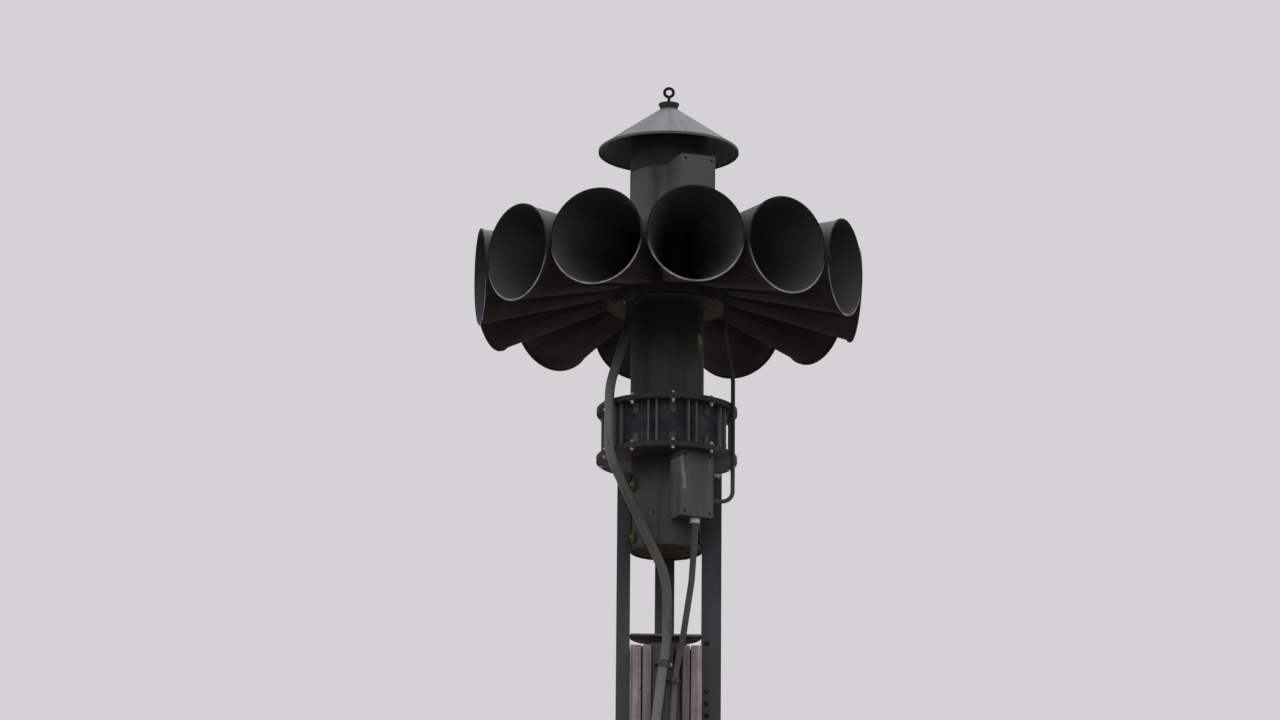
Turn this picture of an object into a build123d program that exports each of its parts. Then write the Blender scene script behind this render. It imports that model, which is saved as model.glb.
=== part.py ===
"""Outdoor warning siren on a timber pole.

A drum with a ring of twelve flared horns stands on a neck, an air intake cage
and a motor can. Three steel legs carry the can over the sawn top of the pole,
which is packed out with boards to the width between the legs.
Lengths are in millimetres. The origin is the middle of the pole at the ground.
Azimuths are counted from the front, -Y, toward +X.
"""

from math import cos, radians, sin
import os

from build123d import *

os.makedirs("parts", exist_ok=True)

# Pole
pole_height = 7470.0
pole_top_radius = 105.0
pole_base_radius = 148.0
pole_top_round = 12.0
cap_plate_rise = 37.0
cap_plate_thickness = 8.0
cap_plate_clearance = 0.5

# Boards that pack the pole out to the legs
board_thickness = 45.0
board_width = 196.0
board_gap = 4.0
board_drop = 13.0
board_tail = 40.0
left_strip_edge = 57.0
right_strip_edge = 64.0
strip_clearance = 0.3

# Stack of the siren, from the middle of the horn mouths down and up
siren_rise = 1482.0
plenum_drop = 96.0
plenum_height = 280.0
neck_length = 420.0
intake_gap = 176.0
can_length = 366.0
housing_height = 273.0
cap_gap = 95.0

# Horns
horn_count = 12
throat_width = 108.0
throat_height = 208.0
throat_lift = 52.0
mouth_radius = 190.0
mouth_reach = 756.0
mouth_droop = 1.6
horn_wall = 3.0
rim_lip = 4.0
rim_width = 9.0
throat_flange_width = 7.0
throat_flange_thickness = 4.0

# Drum and tubes
plenum_apothem = 236.0
plenum_wall_thickness = 5.0
plenum_plate_thickness = 5.0
neck_radius = 146.0
neck_wall = 5.0
shaft_tube_radius = 60.0
shaft_tube_wall = 6.0
roof_eye_radius = 120.0
housing_radius = 154.0
housing_wall = 4.0

# Rotor
rotor_radius = 225.0
rotor_wall = 4.0
rotor_height = 246.0
rotor_lift = 17.0
rotor_plate = 6.0
rotor_port_width = 56.0
rotor_port_height = 190.0
rotor_vanes = 6
hub_radius = 42.0
shaft_radius = 20.0
shaft_clearance = 0.3

# Intake cage
flange_radius = 280.0
flange_thickness = 20.0
cage_turn = -3.0
cage_bays = 10
post_radius = 253.0
post_width = 7.0
post_depth = 14.0
post_spacing = 33.0
screen_radius = 236.0
screen_sheet = 2.0
clip_width = 24.0
clip_height = 48.0
clip_thickness = 4.0
clip_foot = 40.0

# Motor can
can_radius = 142.0
can_wall = 6.0
can_top_thickness = 12.0
end_plate_thickness = 10.0
end_plate_recess = 4.0

# Rain cap
cap_radius = 282.0
cap_lip = 10.0
cap_rise = 174.0
cap_neck_radius = 36.0
cap_sheet = 3.0
strut_count = 6
strut_width = 30.0
strut_thickness = 5.0
strut_lap = 60.0
collar_top_radius = 42.5
collar_bottom_radius = 32.5
collar_height = 24.0
eye_radius = 18.0
eye_rod_radius = 6.0
eye_stem = 31.0
eye_boss_radius = 17.0
eye_boss_height = 12.0

# Legs
leg_turn = -6.5
leg_width = 76.0
leg_depth = 52.0
wide_leg_depth = 76.0
leg_steel = 6.0
leg_drop = 53.0
leg_lap = 620.0
flat_margin = 1.0
lug_angle = 28.0
lug_height = 44.0
lug_width = 26.0
lug_thickness = 12.0
lug_drops = (56.0, 269.0)

# Service boxes
box_width = 143.0
box_height = 265.0
box_wall = 3.0
box_lid = 3.0
lower_box_azimuth = 18.3
lower_box_reach = 226.0
lower_box_shift = 22.0
lower_box_gap = 1.0
upper_box_azimuth = 12.8
upper_box_reach = 294.0
upper_box_shift = 15.0
upper_box_rise = 8.0

# Conduits
wiring_turn = -8.2
main_radius = 19.0
main_bend = 300.0
motor_radius = 12.5
motor_bend = 300.0
link_radius = 8.5
link_bend = 40.0
link_seat = 205.0
link_drop = 921.0
link_stub = 18.0
link_riser_reach = 292.0
link_riser_azimuth = 55.2
link_reach = 288.0
link_lift = 300.0
conduit_foot = 60.0
strap_steel = 3.0
strap_height = 26.0
strap_seat = 0.5
strap_ear = 16.0
strap_pitch = 1400.0
strap_rows = 4
strap_stagger = 70.0
main_strap_drop = 1578.0
motor_strap_drop = 1645.0
gland_lip = 8.0
gland_height = 18.0
link_gland_height = 14.0

# Heights worked out from the sizes above
ring_z = pole_height + siren_rise
plenum_floor_z = ring_z - plenum_drop
plenum_top_z = plenum_floor_z + plenum_height
upper_flange_top_z = plenum_floor_z - neck_length
upper_flange_bottom_z = upper_flange_top_z - flange_thickness
lower_flange_top_z = upper_flange_bottom_z - intake_gap
can_top_z = lower_flange_top_z - flange_thickness
can_bottom_z = can_top_z - can_length
housing_top_z = plenum_top_z + housing_height
cap_rim_z = housing_top_z + cap_gap
cap_cone_z = cap_rim_z + cap_lip
cap_top_z = cap_cone_z + cap_rise
leg_top_z = can_top_z - leg_drop
leg_bottom_z = pole_height - leg_lap
board_top_z = pole_height - board_drop
board_bottom_z = leg_bottom_z - board_tail
board_inner = can_radius - board_thickness
horn_pitch = 360.0 / horn_count
bay_pitch = 360.0 / cage_bays


def radial(azimuth):
    """Unit vector that points away from the pole at an azimuth."""
    return Vector(sin(radians(azimuth)), -cos(radians(azimuth)), 0)


def tangent(azimuth):
    """Unit vector along the ring at an azimuth, toward growing azimuth."""
    return Vector(cos(radians(azimuth)), sin(radians(azimuth)), 0)


def facing_plane(azimuth, reach, z, droop=0.0):
    """Upright plane that looks outward, its local y pointing up."""
    outward = radial(azimuth) * cos(radians(droop)) - Vector(0, 0, 1) * sin(radians(droop))
    return Plane(origin=radial(azimuth) * reach + Vector(0, 0, z), x_dir=tangent(azimuth), z_dir=outward)


def level_plane(azimuth, z):
    """Level plane through the middle line, its local x pointing outward at an azimuth."""
    return Plane(origin=(0, 0, z), x_dir=radial(azimuth), z_dir=(0, 0, 1))


def save(piece, node):
    """Label a finished piece and write it."""
    piece.part.label = node
    export_step(piece.part, f"parts/{node}.step")
    print(f"{node:22s} volume {piece.part.volume / 1000:10.1f} cm3")


# Pole, tapered and rounded over at the top, with a flat for each packing board
leg_azimuths = {"left_leg": leg_turn - 90.0, "right_leg": leg_turn + 90.0, "rear_leg": leg_turn + 180.0}
leg_depths = {"left_leg": leg_depth, "right_leg": wide_leg_depth, "rear_leg": leg_depth}

with BuildPart() as timber_pole:
    with BuildSketch(Plane.XY):
        Circle(pole_base_radius)
    with BuildSketch(Plane.XY.offset(pole_height)):
        Circle(pole_top_radius)
    loft()
    fillet(timber_pole.edges().sort_by(Axis.Z)[-1], radius=pole_top_round)
    for azimuth in leg_azimuths.values():
        with BuildSketch(level_plane(azimuth, board_bottom_z)):
            with Locations((board_inner + pole_base_radius / 2, 0)):
                Rectangle(pole_base_radius, board_width + 2 * flat_margin)
        extrude(amount=pole_height - board_bottom_z, mode=Mode.SUBTRACT)
save(timber_pole, "timber_pole")

# Packing: a narrow strip each side of the wiring, fitted to the pole, and a board under each leg
left_strip_width = board_inner - board_gap - left_strip_edge
right_strip_width = board_inner - board_gap - right_strip_edge
board_length = board_top_z - board_bottom_z
with BuildPart() as packing_boards:
    with BuildSketch(level_plane(leg_turn, board_bottom_z)):
        with Locations((board_width / 4, -left_strip_edge - left_strip_width / 2)):
            Rectangle(board_width / 2, left_strip_width)
        with Locations((board_width / 4, right_strip_edge + right_strip_width / 2)):
            Rectangle(board_width / 2, right_strip_width)
    extrude(amount=board_length)
    with BuildSketch(Plane.XY):
        Circle(pole_base_radius + strip_clearance)
    with BuildSketch(Plane.XY.offset(pole_height)):
        Circle(pole_top_radius + strip_clearance)
    loft(mode=Mode.SUBTRACT)
    for node, azimuth in leg_azimuths.items():
        width = 2 * (board_inner - board_gap) if node == "rear_leg" else board_width
        with BuildSketch(level_plane(azimuth, board_bottom_z)):
            with Locations((can_radius - board_thickness / 2, 0)):
                Rectangle(board_thickness, width)
        extrude(amount=board_length)
save(packing_boards, "packing_boards")

# Round plate between the legs over the pole's end, cut straight along the front
with BuildPart() as pole_cap_plate:
    with BuildSketch(level_plane(leg_turn, pole_height + cap_plate_rise)):
        Circle(can_radius - cap_plate_clearance)
        with Locations((leg_width / 2 + can_radius, 0)):
            Rectangle(2 * can_radius, 2 * can_radius, mode=Mode.SUBTRACT)
    extrude(amount=cap_plate_thickness)
save(pole_cap_plate, "pole_cap_plate")

# Legs: channels with their webs on the can and in the pole's flats
for node, azimuth in leg_azimuths.items():
    depth = leg_depths[node]
    with BuildPart() as leg:
        with BuildSketch(level_plane(azimuth, leg_bottom_z)):
            with Locations((can_radius + depth / 2, 0)):
                Rectangle(depth, leg_width)
            with Locations((can_radius + leg_steel + depth / 2, 0)):
                Rectangle(depth, leg_width - 2 * leg_steel, mode=Mode.SUBTRACT)
        extrude(amount=leg_top_z - leg_bottom_z)
    save(leg, node)

# Motor can, a drawn cup that hangs under the lower flange
with BuildPart() as motor_can:
    with BuildSketch(Plane.XY.offset(can_bottom_z)):
        Circle(can_radius)
    extrude(amount=can_length)
    with BuildSketch(Plane.XY.offset(can_bottom_z)):
        Circle(can_radius - can_wall)
    extrude(amount=can_length - can_top_thickness, mode=Mode.SUBTRACT)
save(motor_can, "motor_can")

with BuildPart() as motor_end_plate:
    with BuildSketch(Plane.XY.offset(can_bottom_z + end_plate_recess)):
        Circle(can_radius - can_wall)
    extrude(amount=end_plate_thickness)
save(motor_end_plate, "motor_end_plate")

# Welded lugs on the can beside every leg at two heights; the lower box takes the place of one
with BuildPart() as leg_lugs:
    for node, azimuth in leg_azimuths.items():
        for side in (-lug_angle, lug_angle):
            for drop in lug_drops:
                if node == "right_leg" and side < 0 and drop == lug_drops[0]:
                    continue
                with BuildSketch(level_plane(azimuth + side, leg_top_z - drop - lug_height / 2)):
                    with Locations((can_radius, 0)):
                        Rectangle(2 * lug_thickness, lug_width)
                extrude(amount=lug_height)
    with BuildSketch(Plane.XY.offset(can_bottom_z)):
        Circle(can_radius)
    extrude(amount=can_length, mode=Mode.SUBTRACT)
save(leg_lugs, "leg_lugs")

# Intake cage between two bolted flanges
with BuildPart() as lower_flange:
    with BuildSketch(Plane.XY.offset(can_top_z)):
        Circle(flange_radius)
        Circle(shaft_radius + shaft_clearance, mode=Mode.SUBTRACT)
    extrude(amount=flange_thickness)
save(lower_flange, "lower_flange")

with BuildPart() as upper_flange:
    with BuildSketch(Plane.XY.offset(upper_flange_bottom_z)):
        Circle(flange_radius)
        Circle(neck_radius - neck_wall, mode=Mode.SUBTRACT)
    extrude(amount=flange_thickness)
save(upper_flange, "upper_flange")

with BuildPart() as intake_posts:
    for index in range(cage_bays):
        with BuildSketch(level_plane(cage_turn + (index + 0.5) * bay_pitch, lower_flange_top_z)):
            with Locations((post_radius, post_spacing / 2), (post_radius, -post_spacing / 2)):
                Rectangle(post_depth, post_width)
        extrude(amount=intake_gap)
save(intake_posts, "intake_posts")

with BuildPart() as intake_screen:
    with BuildSketch(Plane.XY.offset(lower_flange_top_z)):
        Circle(screen_radius)
        Circle(screen_radius - screen_sheet, mode=Mode.SUBTRACT)
    extrude(amount=intake_gap)
save(intake_screen, "intake_screen")

with BuildPart() as intake_clips:
    for index in range(cage_bays):
        for foot_z, tab_z in (
            (lower_flange_top_z, lower_flange_top_z),
            (upper_flange_bottom_z - clip_thickness, upper_flange_bottom_z - clip_height),
        ):
            with BuildSketch(level_plane(cage_turn + index * bay_pitch, foot_z)):
                with Locations((screen_radius + clip_foot / 2, 0)):
                    Rectangle(clip_foot, clip_width)
            extrude(amount=clip_thickness)
            with BuildSketch(level_plane(cage_turn + index * bay_pitch, tab_z)):
                with Locations((screen_radius + clip_thickness / 2, 0)):
                    Rectangle(clip_thickness, clip_width)
            extrude(amount=clip_height)
    with BuildSketch(Plane.XY.offset(lower_flange_top_z)):
        Circle(screen_radius)
    extrude(amount=intake_gap, mode=Mode.SUBTRACT)
save(intake_clips, "intake_clips")

with BuildPart() as shaft_tube:
    with BuildSketch(Plane.XY.offset(lower_flange_top_z)):
        Circle(shaft_tube_radius)
        Circle(shaft_tube_radius - shaft_tube_wall, mode=Mode.SUBTRACT)
    extrude(amount=plenum_floor_z - lower_flange_top_z)
save(shaft_tube, "shaft_tube")

with BuildPart() as neck_tube:
    with BuildSketch(Plane.XY.offset(upper_flange_top_z)):
        Circle(neck_radius)
        Circle(neck_radius - neck_wall, mode=Mode.SUBTRACT)
    extrude(amount=neck_length)
save(neck_tube, "neck_tube")

# Twelve-sided drum with one port for each horn
plate_turn = horn_pitch / 2
with BuildPart() as plenum_floor:
    with BuildSketch(Plane.XY.offset(plenum_floor_z)):
        RegularPolygon(plenum_apothem, horn_count, major_radius=False, rotation=plate_turn)
        Circle(neck_radius - neck_wall, mode=Mode.SUBTRACT)
    extrude(amount=plenum_plate_thickness)
save(plenum_floor, "plenum_floor")

wall_height = plenum_height - 2 * plenum_plate_thickness
port_width = throat_width - 2 * horn_wall
port_height = throat_height - 2 * horn_wall
with BuildPart() as plenum_wall:
    with BuildSketch(Plane.XY.offset(plenum_floor_z + plenum_plate_thickness)):
        RegularPolygon(plenum_apothem, horn_count, major_radius=False, rotation=plate_turn)
        RegularPolygon(
            plenum_apothem - plenum_wall_thickness,
            horn_count,
            major_radius=False,
            rotation=plate_turn,
            mode=Mode.SUBTRACT,
        )
    extrude(amount=wall_height)
    for index in range(horn_count):
        with BuildSketch(facing_plane(index * horn_pitch, plenum_apothem, ring_z + throat_lift)):
            Rectangle(port_width, port_height)
        extrude(amount=-2 * plenum_wall_thickness, mode=Mode.SUBTRACT)
save(plenum_wall, "plenum_wall")

with BuildPart() as plenum_roof:
    with BuildSketch(Plane.XY.offset(plenum_top_z - plenum_plate_thickness)):
        RegularPolygon(plenum_apothem, horn_count, major_radius=False, rotation=plate_turn)
        Circle(roof_eye_radius, mode=Mode.SUBTRACT)
    extrude(amount=plenum_plate_thickness)
save(plenum_roof, "plenum_roof")

# Rotor: a ported ring on a vaned plate, turned so that its lands stand before the horns
rotor_floor_z = plenum_floor_z + rotor_lift
with BuildPart() as rotor:
    with BuildSketch(Plane.XY.offset(rotor_floor_z)):
        Circle(rotor_radius)
    extrude(amount=rotor_height)
    with BuildSketch(Plane.XY.offset(rotor_floor_z + rotor_plate)):
        Circle(rotor_radius - rotor_wall)
        Circle(hub_radius, mode=Mode.SUBTRACT)
        with PolarLocations((rotor_radius + hub_radius) / 2, rotor_vanes):
            Rectangle(rotor_radius, rotor_wall, mode=Mode.SUBTRACT)
    extrude(amount=rotor_height - 2 * rotor_plate, mode=Mode.SUBTRACT)
    with BuildSketch(Plane.XY.offset(rotor_floor_z + rotor_height - rotor_plate)):
        Circle(roof_eye_radius)
        Circle(hub_radius, mode=Mode.SUBTRACT)
    extrude(amount=rotor_plate, mode=Mode.SUBTRACT)
    for index in range(horn_count):
        with BuildSketch(facing_plane((index + 0.5) * horn_pitch, rotor_radius, ring_z + throat_lift)):
            Rectangle(rotor_port_width, rotor_port_height)
        extrude(amount=-3 * rotor_wall, mode=Mode.SUBTRACT)
    with BuildSketch(Plane.XY.offset(can_top_z)):
        Circle(shaft_radius)
    extrude(amount=rotor_floor_z - can_top_z)
save(rotor, "rotor")

# Horns: a tall narrow throat that opens into a round mouth with a rolled rim
for index in range(horn_count):
    azimuth = index * horn_pitch
    throat = facing_plane(azimuth, plenum_apothem, ring_z + throat_lift)
    mouth = facing_plane(azimuth, mouth_reach, ring_z, mouth_droop)
    with BuildPart() as horn:
        with BuildSketch(throat):
            Rectangle(throat_width, throat_height)
        with BuildSketch(mouth):
            Circle(mouth_radius)
        loft()
        with BuildSketch(throat):
            Rectangle(throat_width + 2 * throat_flange_width, throat_height + 2 * throat_flange_width)
        extrude(amount=throat_flange_thickness)
        with BuildSketch(mouth):
            Circle(mouth_radius + rim_lip)
        extrude(amount=-rim_width)
        with BuildSketch(throat):
            Rectangle(port_width, port_height)
        with BuildSketch(mouth):
            Circle(mouth_radius - horn_wall)
        loft(mode=Mode.SUBTRACT)
    save(horn, f"horn_{index + 1:02d}")

# Upper housing, rain cap and what stands between them
with BuildPart() as upper_housing:
    with BuildSketch(Plane.XY.offset(plenum_top_z)):
        Circle(housing_radius)
        Circle(housing_radius - housing_wall, mode=Mode.SUBTRACT)
    extrude(amount=housing_height)
save(upper_housing, "upper_housing")

with BuildPart() as rain_cap:
    with BuildSketch(Plane.XZ):
        with BuildLine():
            Polyline(
                (0, cap_top_z),
                (cap_neck_radius, cap_top_z),
                (cap_radius, cap_cone_z),
                (cap_radius, cap_rim_z),
                (cap_radius - cap_sheet, cap_rim_z),
                (cap_radius - cap_sheet, cap_cone_z - cap_sheet),
                (cap_neck_radius - cap_sheet, cap_top_z - cap_sheet),
                (0, cap_top_z - cap_sheet),
                close=True,
            )
        make_face()
    revolve(axis=Axis.Z)
save(rain_cap, "rain_cap")

# The space above the underside of the cap's sheet
with BuildPart() as above_cap:
    with BuildSketch(Plane.XZ):
        with BuildLine():
            Polyline(
                (0, cap_top_z - cap_sheet),
                (cap_neck_radius - cap_sheet, cap_top_z - cap_sheet),
                (cap_radius - cap_sheet, cap_cone_z - cap_sheet),
                (cap_radius + cap_rise, cap_cone_z - cap_sheet),
                (cap_radius + cap_rise, cap_top_z + cap_rise),
                (0, cap_top_z + cap_rise),
                close=True,
            )
        make_face()
    revolve(axis=Axis.Z)

with BuildPart() as cap_screen:
    with BuildSketch(Plane.XY.offset(housing_top_z)):
        Circle(housing_radius - housing_wall / 2 + screen_sheet / 2)
        Circle(housing_radius - housing_wall / 2 - screen_sheet / 2, mode=Mode.SUBTRACT)
    extrude(amount=cap_top_z - housing_top_z)
    add(above_cap.part, mode=Mode.SUBTRACT)
save(cap_screen, "cap_screen")

strut_radius = housing_radius - housing_wall
with BuildPart() as cap_struts:
    for index in range(strut_count):
        with BuildSketch(level_plane((index + 0.5) * 360.0 / strut_count, housing_top_z - strut_lap)):
            with Locations((strut_radius - strut_thickness / 2, 0)):
                Rectangle(strut_thickness, strut_width)
            Circle(strut_radius, mode=Mode.INTERSECT)
        extrude(amount=cap_top_z - housing_top_z + strut_lap)
    add(above_cap.part, mode=Mode.SUBTRACT)
save(cap_struts, "cap_struts")

with BuildPart() as cap_collar:
    with BuildSketch(Plane.XY.offset(cap_top_z)):
        Circle(collar_bottom_radius)
    with BuildSketch(Plane.XY.offset(cap_top_z + collar_height)):
        Circle(collar_top_radius)
    loft()
save(cap_collar, "cap_collar")

# Lifting eye: a forged ring on a stem with a conical foot
collar_top_z = cap_top_z + collar_height
eye_z = collar_top_z + eye_stem + eye_radius
with BuildPart() as lifting_eye:
    with BuildSketch(Plane(origin=(0, 0, eye_z), x_dir=(0, 0, -1), z_dir=tangent(wiring_turn))):
        with Locations((eye_radius, 0)):
            Circle(eye_rod_radius)
    revolve(axis=Axis((0, 0, eye_z), tuple(radial(wiring_turn))))
    with BuildSketch(Plane.XY.offset(collar_top_z)):
        Circle(eye_rod_radius)
    extrude(amount=eye_stem)
    with BuildSketch(Plane.XY.offset(collar_top_z)):
        Circle(eye_boss_radius)
    with BuildSketch(Plane.XY.offset(collar_top_z + eye_boss_height)):
        Circle(eye_rod_radius)
    loft()
save(lifting_eye, "lifting_eye")


def service_box(node, azimuth, shift, bottom_z, seat_radius, reach):
    """A box whose open back fits the round wall behind it, set off to one side, and its lid."""
    body_front = reach - box_lid
    depth = body_front - seat_radius / 2
    with BuildPart() as body:
        with BuildSketch(level_plane(azimuth, bottom_z)):
            with Locations((body_front - depth / 2, shift)):
                Rectangle(depth, box_width)
        extrude(amount=box_height)
        with BuildSketch(level_plane(azimuth, bottom_z + box_wall)):
            with Locations((body_front - depth / 2, shift)):
                Rectangle(depth, box_width - 2 * box_wall)
        extrude(amount=box_height - 2 * box_wall, mode=Mode.SUBTRACT)
        with BuildSketch(Plane.XY.offset(bottom_z)):
            Circle(seat_radius)
        extrude(amount=box_height, mode=Mode.SUBTRACT)
    save(body, node)
    with BuildPart() as lid:
        with BuildSketch(facing_plane(azimuth, body_front, bottom_z + box_height / 2)):
            with Locations((shift, 0)):
                RectangleRounded(box_width, box_height, box_wall)
        extrude(amount=box_lid)
    save(lid, f"{node}_lid")


lower_box_z = can_top_z - lower_box_gap - box_height
upper_box_z = housing_top_z + upper_box_rise - box_height
service_box("lower_box", lower_box_azimuth, lower_box_shift, lower_box_z, can_radius, lower_box_reach)
service_box("upper_box", upper_box_azimuth, upper_box_shift, upper_box_z, housing_radius, upper_box_reach)


def wiring_point(side, front, z):
    """Point given across and in front of the pole's wiring face."""
    return radial(wiring_turn) * front + tangent(wiring_turn) * side + Vector(0, 0, z)


def conduit(node, points, bend, outside):
    """Flexible conduit along straight runs and round bends; gives back its middle line."""
    with BuildLine() as route:
        FilletPolyline(*points, radius=bend)
    with BuildPart() as tube:
        with BuildSketch(Plane(origin=points[0], z_dir=points[1] - points[0])):
            Circle(outside)
        sweep(path=route.wires()[0], transition=Transition.ROUND)
    save(tube, node)
    print(f"{node} length {route.wires()[0].length:.0f} mm")
    return route.wires()[0]


def pole_radius(z):
    """Radius of the tapered pole at a height."""
    return pole_base_radius + (pole_top_radius - pole_base_radius) * z / pole_height


def on_pole(side, outside, z):
    """Middle of a conduit that lies on the pole, a given way across its wiring face."""
    reach = pole_radius(z) + outside + strap_seat
    return wiring_point(side, (reach ** 2 - side ** 2) ** 0.5, z)


main_top = wiring_point(-150, 152, plenum_floor_z - gland_height)
main_points = [
    main_top,
    main_top - Vector(0, 0, 80),
    wiring_point(-227, 200, ring_z - 470),
    wiring_point(-229, 200, ring_z - 745),
    wiring_point(-8, 160, ring_z - 1215),
    wiring_point(5, 147, ring_z - 1300),
    on_pole(5, main_radius, ring_z - 1490),
    on_pole(-12, main_radius, ring_z - 1610),
    on_pole(-28, main_radius, ring_z - 1740),
    on_pole(-47, main_radius, ring_z - 1900),
    on_pole(-48, main_radius, conduit_foot),
]
main_points.append(Vector(main_points[-1].X, main_points[-1].Y, 0))
main_route = conduit("main_conduit", main_points, main_bend, main_radius)

motor_top = wiring_point(112, 150, lower_box_z - gland_height)
motor_points = [
    motor_top,
    motor_top - Vector(0, 0, 60),
    wiring_point(101, 148, ring_z - 1250),
    wiring_point(68, 130, ring_z - 1475),
    on_pole(38, motor_radius, ring_z - 1620),
    on_pole(26, motor_radius, ring_z - 1900),
    on_pole(25, motor_radius, conduit_foot),
]
motor_points.append(Vector(motor_points[-1].X, motor_points[-1].Y, 0))
motor_route = conduit("motor_conduit", motor_points, motor_bend, motor_radius)

lower_out = tangent(lower_box_azimuth)
upper_out = tangent(upper_box_azimuth)
lower_side = radial(lower_box_azimuth) * link_seat + lower_out * (lower_box_shift + box_width / 2)
upper_side_reach = (radial(horn_pitch * 1.5) * link_reach).dot(radial(upper_box_azimuth))
upper_side = radial(upper_box_azimuth) * upper_side_reach + upper_out * (upper_box_shift + box_width / 2)
riser = radial(link_riser_azimuth) * link_riser_reach
link_rise = radial(horn_pitch * 1.5) * link_reach


def at_height(place, z):
    """A level place moved up to a height."""
    return Vector(place.X, place.Y, z)


link_start = at_height(lower_side + lower_out * link_gland_height, ring_z - link_drop)
link_end = at_height(upper_side + upper_out * link_gland_height, ring_z + link_lift)
link_points = [
    link_start,
    link_start + lower_out * link_stub,
    at_height(riser, ring_z - link_drop),
    at_height(riser, ring_z - 430),
    at_height(link_rise, ring_z - 250),
    at_height(link_rise, ring_z + link_lift),
    link_end,
]
conduit("link_conduit", link_points, link_bend, link_radius)

# Glands where the conduits enter the floor and the boxes
with BuildPart() as conduit_glands:
    with BuildSketch(Plane(origin=main_top, z_dir=(0, 0, 1))):
        Circle(main_radius + gland_lip)
    extrude(amount=gland_height)
    with BuildSketch(Plane(origin=motor_top, z_dir=(0, 0, 1))):
        Circle(motor_radius + gland_lip)
    extrude(amount=gland_height)
    with BuildSketch(Plane(origin=link_points[0], z_dir=lower_out)):
        Circle(link_radius + gland_lip / 2)
    extrude(amount=-link_gland_height)
    with BuildSketch(Plane(origin=link_points[-1], z_dir=upper_out)):
        Circle(link_radius + gland_lip / 2)
    extrude(amount=-link_gland_height)
save(conduit_glands, "conduit_glands")


def strap(node, outside, route, places):
    """Saddle straps that hold a conduit against the pole, each at a way across and a height."""
    with BuildPart() as straps:
        for side, z in places:
            middle = on_pole(side, outside, z)
            reach = (middle.X ** 2 + middle.Y ** 2) ** 0.5
            outward = (middle.X, middle.Y, 0)
            across = Plane(origin=(0, 0, z - strap_height / 2), x_dir=outward, z_dir=(0, 0, 1))
            with BuildSketch(across):
                Circle(pole_radius(z) + strap_steel + strap_seat)
                with Locations((reach, 0)):
                    Rectangle(reach, 2 * (outside + strap_ear), mode=Mode.INTERSECT)
                    Circle(outside + strap_steel + strap_seat)
                Circle(pole_radius(z - strap_height) + strap_seat / 2, mode=Mode.SUBTRACT)
            extrude(amount=strap_height)
        with BuildSketch(Plane(origin=route @ 0, z_dir=route % 0)):
            Circle(outside + strap_seat / 2)
        sweep(path=route, transition=Transition.ROUND, mode=Mode.SUBTRACT)
    save(straps, node)


strap_heights = [pole_height - (index + 1) * strap_pitch for index in range(strap_rows)]
main_places = [(-8, ring_z - main_strap_drop)]
main_places += [(-48, z) for z in strap_heights]
motor_places = [(37, ring_z - motor_strap_drop)]
motor_places += [(25.5, z - strap_stagger) for z in strap_heights]
strap("main_straps", main_radius, main_route, main_places)
strap("motor_straps", motor_radius, motor_route, motor_places)
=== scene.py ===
# %% [markdown]
# # An outdoor warning siren on a timber pole
#
# The real thing is a drum with twelve sheet metal horns around it. A motor can hangs
# below the drum, a conical rain cap sits above it, and three steel legs hold it all
# over the sawn end of a weathered pole, packed out with boards.
#
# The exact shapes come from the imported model. This lesson adds what that model leaves
# out: paint and rust, wood grain, the drying checks in the timber, and every bolt.
# Lengths are in metres, +Z is up, and the front horn faces -Y.

import math
import random

import bmesh
import bpy
from mathutils import Matrix, Vector, noise
from mathutils.bvhtree import BVHTree


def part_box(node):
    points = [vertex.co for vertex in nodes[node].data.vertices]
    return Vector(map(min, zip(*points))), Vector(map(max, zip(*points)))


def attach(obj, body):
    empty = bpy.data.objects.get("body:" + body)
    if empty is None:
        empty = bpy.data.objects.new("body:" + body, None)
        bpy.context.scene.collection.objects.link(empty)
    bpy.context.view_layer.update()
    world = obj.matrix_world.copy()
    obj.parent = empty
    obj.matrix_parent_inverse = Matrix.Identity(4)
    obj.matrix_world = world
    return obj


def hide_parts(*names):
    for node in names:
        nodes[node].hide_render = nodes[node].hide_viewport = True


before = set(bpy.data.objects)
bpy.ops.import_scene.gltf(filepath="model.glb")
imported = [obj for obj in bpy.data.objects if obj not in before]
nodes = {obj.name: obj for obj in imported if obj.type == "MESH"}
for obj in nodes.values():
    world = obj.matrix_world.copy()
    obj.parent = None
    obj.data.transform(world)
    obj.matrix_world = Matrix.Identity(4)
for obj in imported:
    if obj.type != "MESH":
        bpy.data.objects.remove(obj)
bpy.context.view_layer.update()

# %% [markdown]
# ## Directions round the pole
#
# Nearly every part of the siren sits somewhere round the pole's middle line. Such a place
# could be written as x and y, but an azimuth and a distance say it more plainly. The
# azimuth is an angle that counts from the front toward +X.

# %% Directions from an azimuth


def radial(azimuth):
    """Level unit vector away from the pole; azimuth counts from the front, -Y, toward +X."""
    return Vector((math.sin(azimuth), -math.cos(azimuth), 0.0))


def tangent(azimuth):
    """Level unit vector along the ring at an azimuth."""
    return Vector((math.cos(azimuth), math.sin(azimuth), 0.0))


def up(height):
    """Vector straight up."""
    return Vector((0.0, 0.0, height))


def at(azimuth, reach, z):
    """A place given by azimuth, distance from the pole's middle line and height."""
    return radial(azimuth) * reach + up(z)


print("the front faces", tuple(radial(0.0)))

# %% [markdown]
# ## Sizes read from the model
#
# Each bolt has to sit on its flange and each screw on its lid. Written sizes would be
# wrong after the model's next change, so the places come from the boxes of the pieces
# that carry them. Written here are only the number of horns and how far each group is
# turned from the front.

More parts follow.
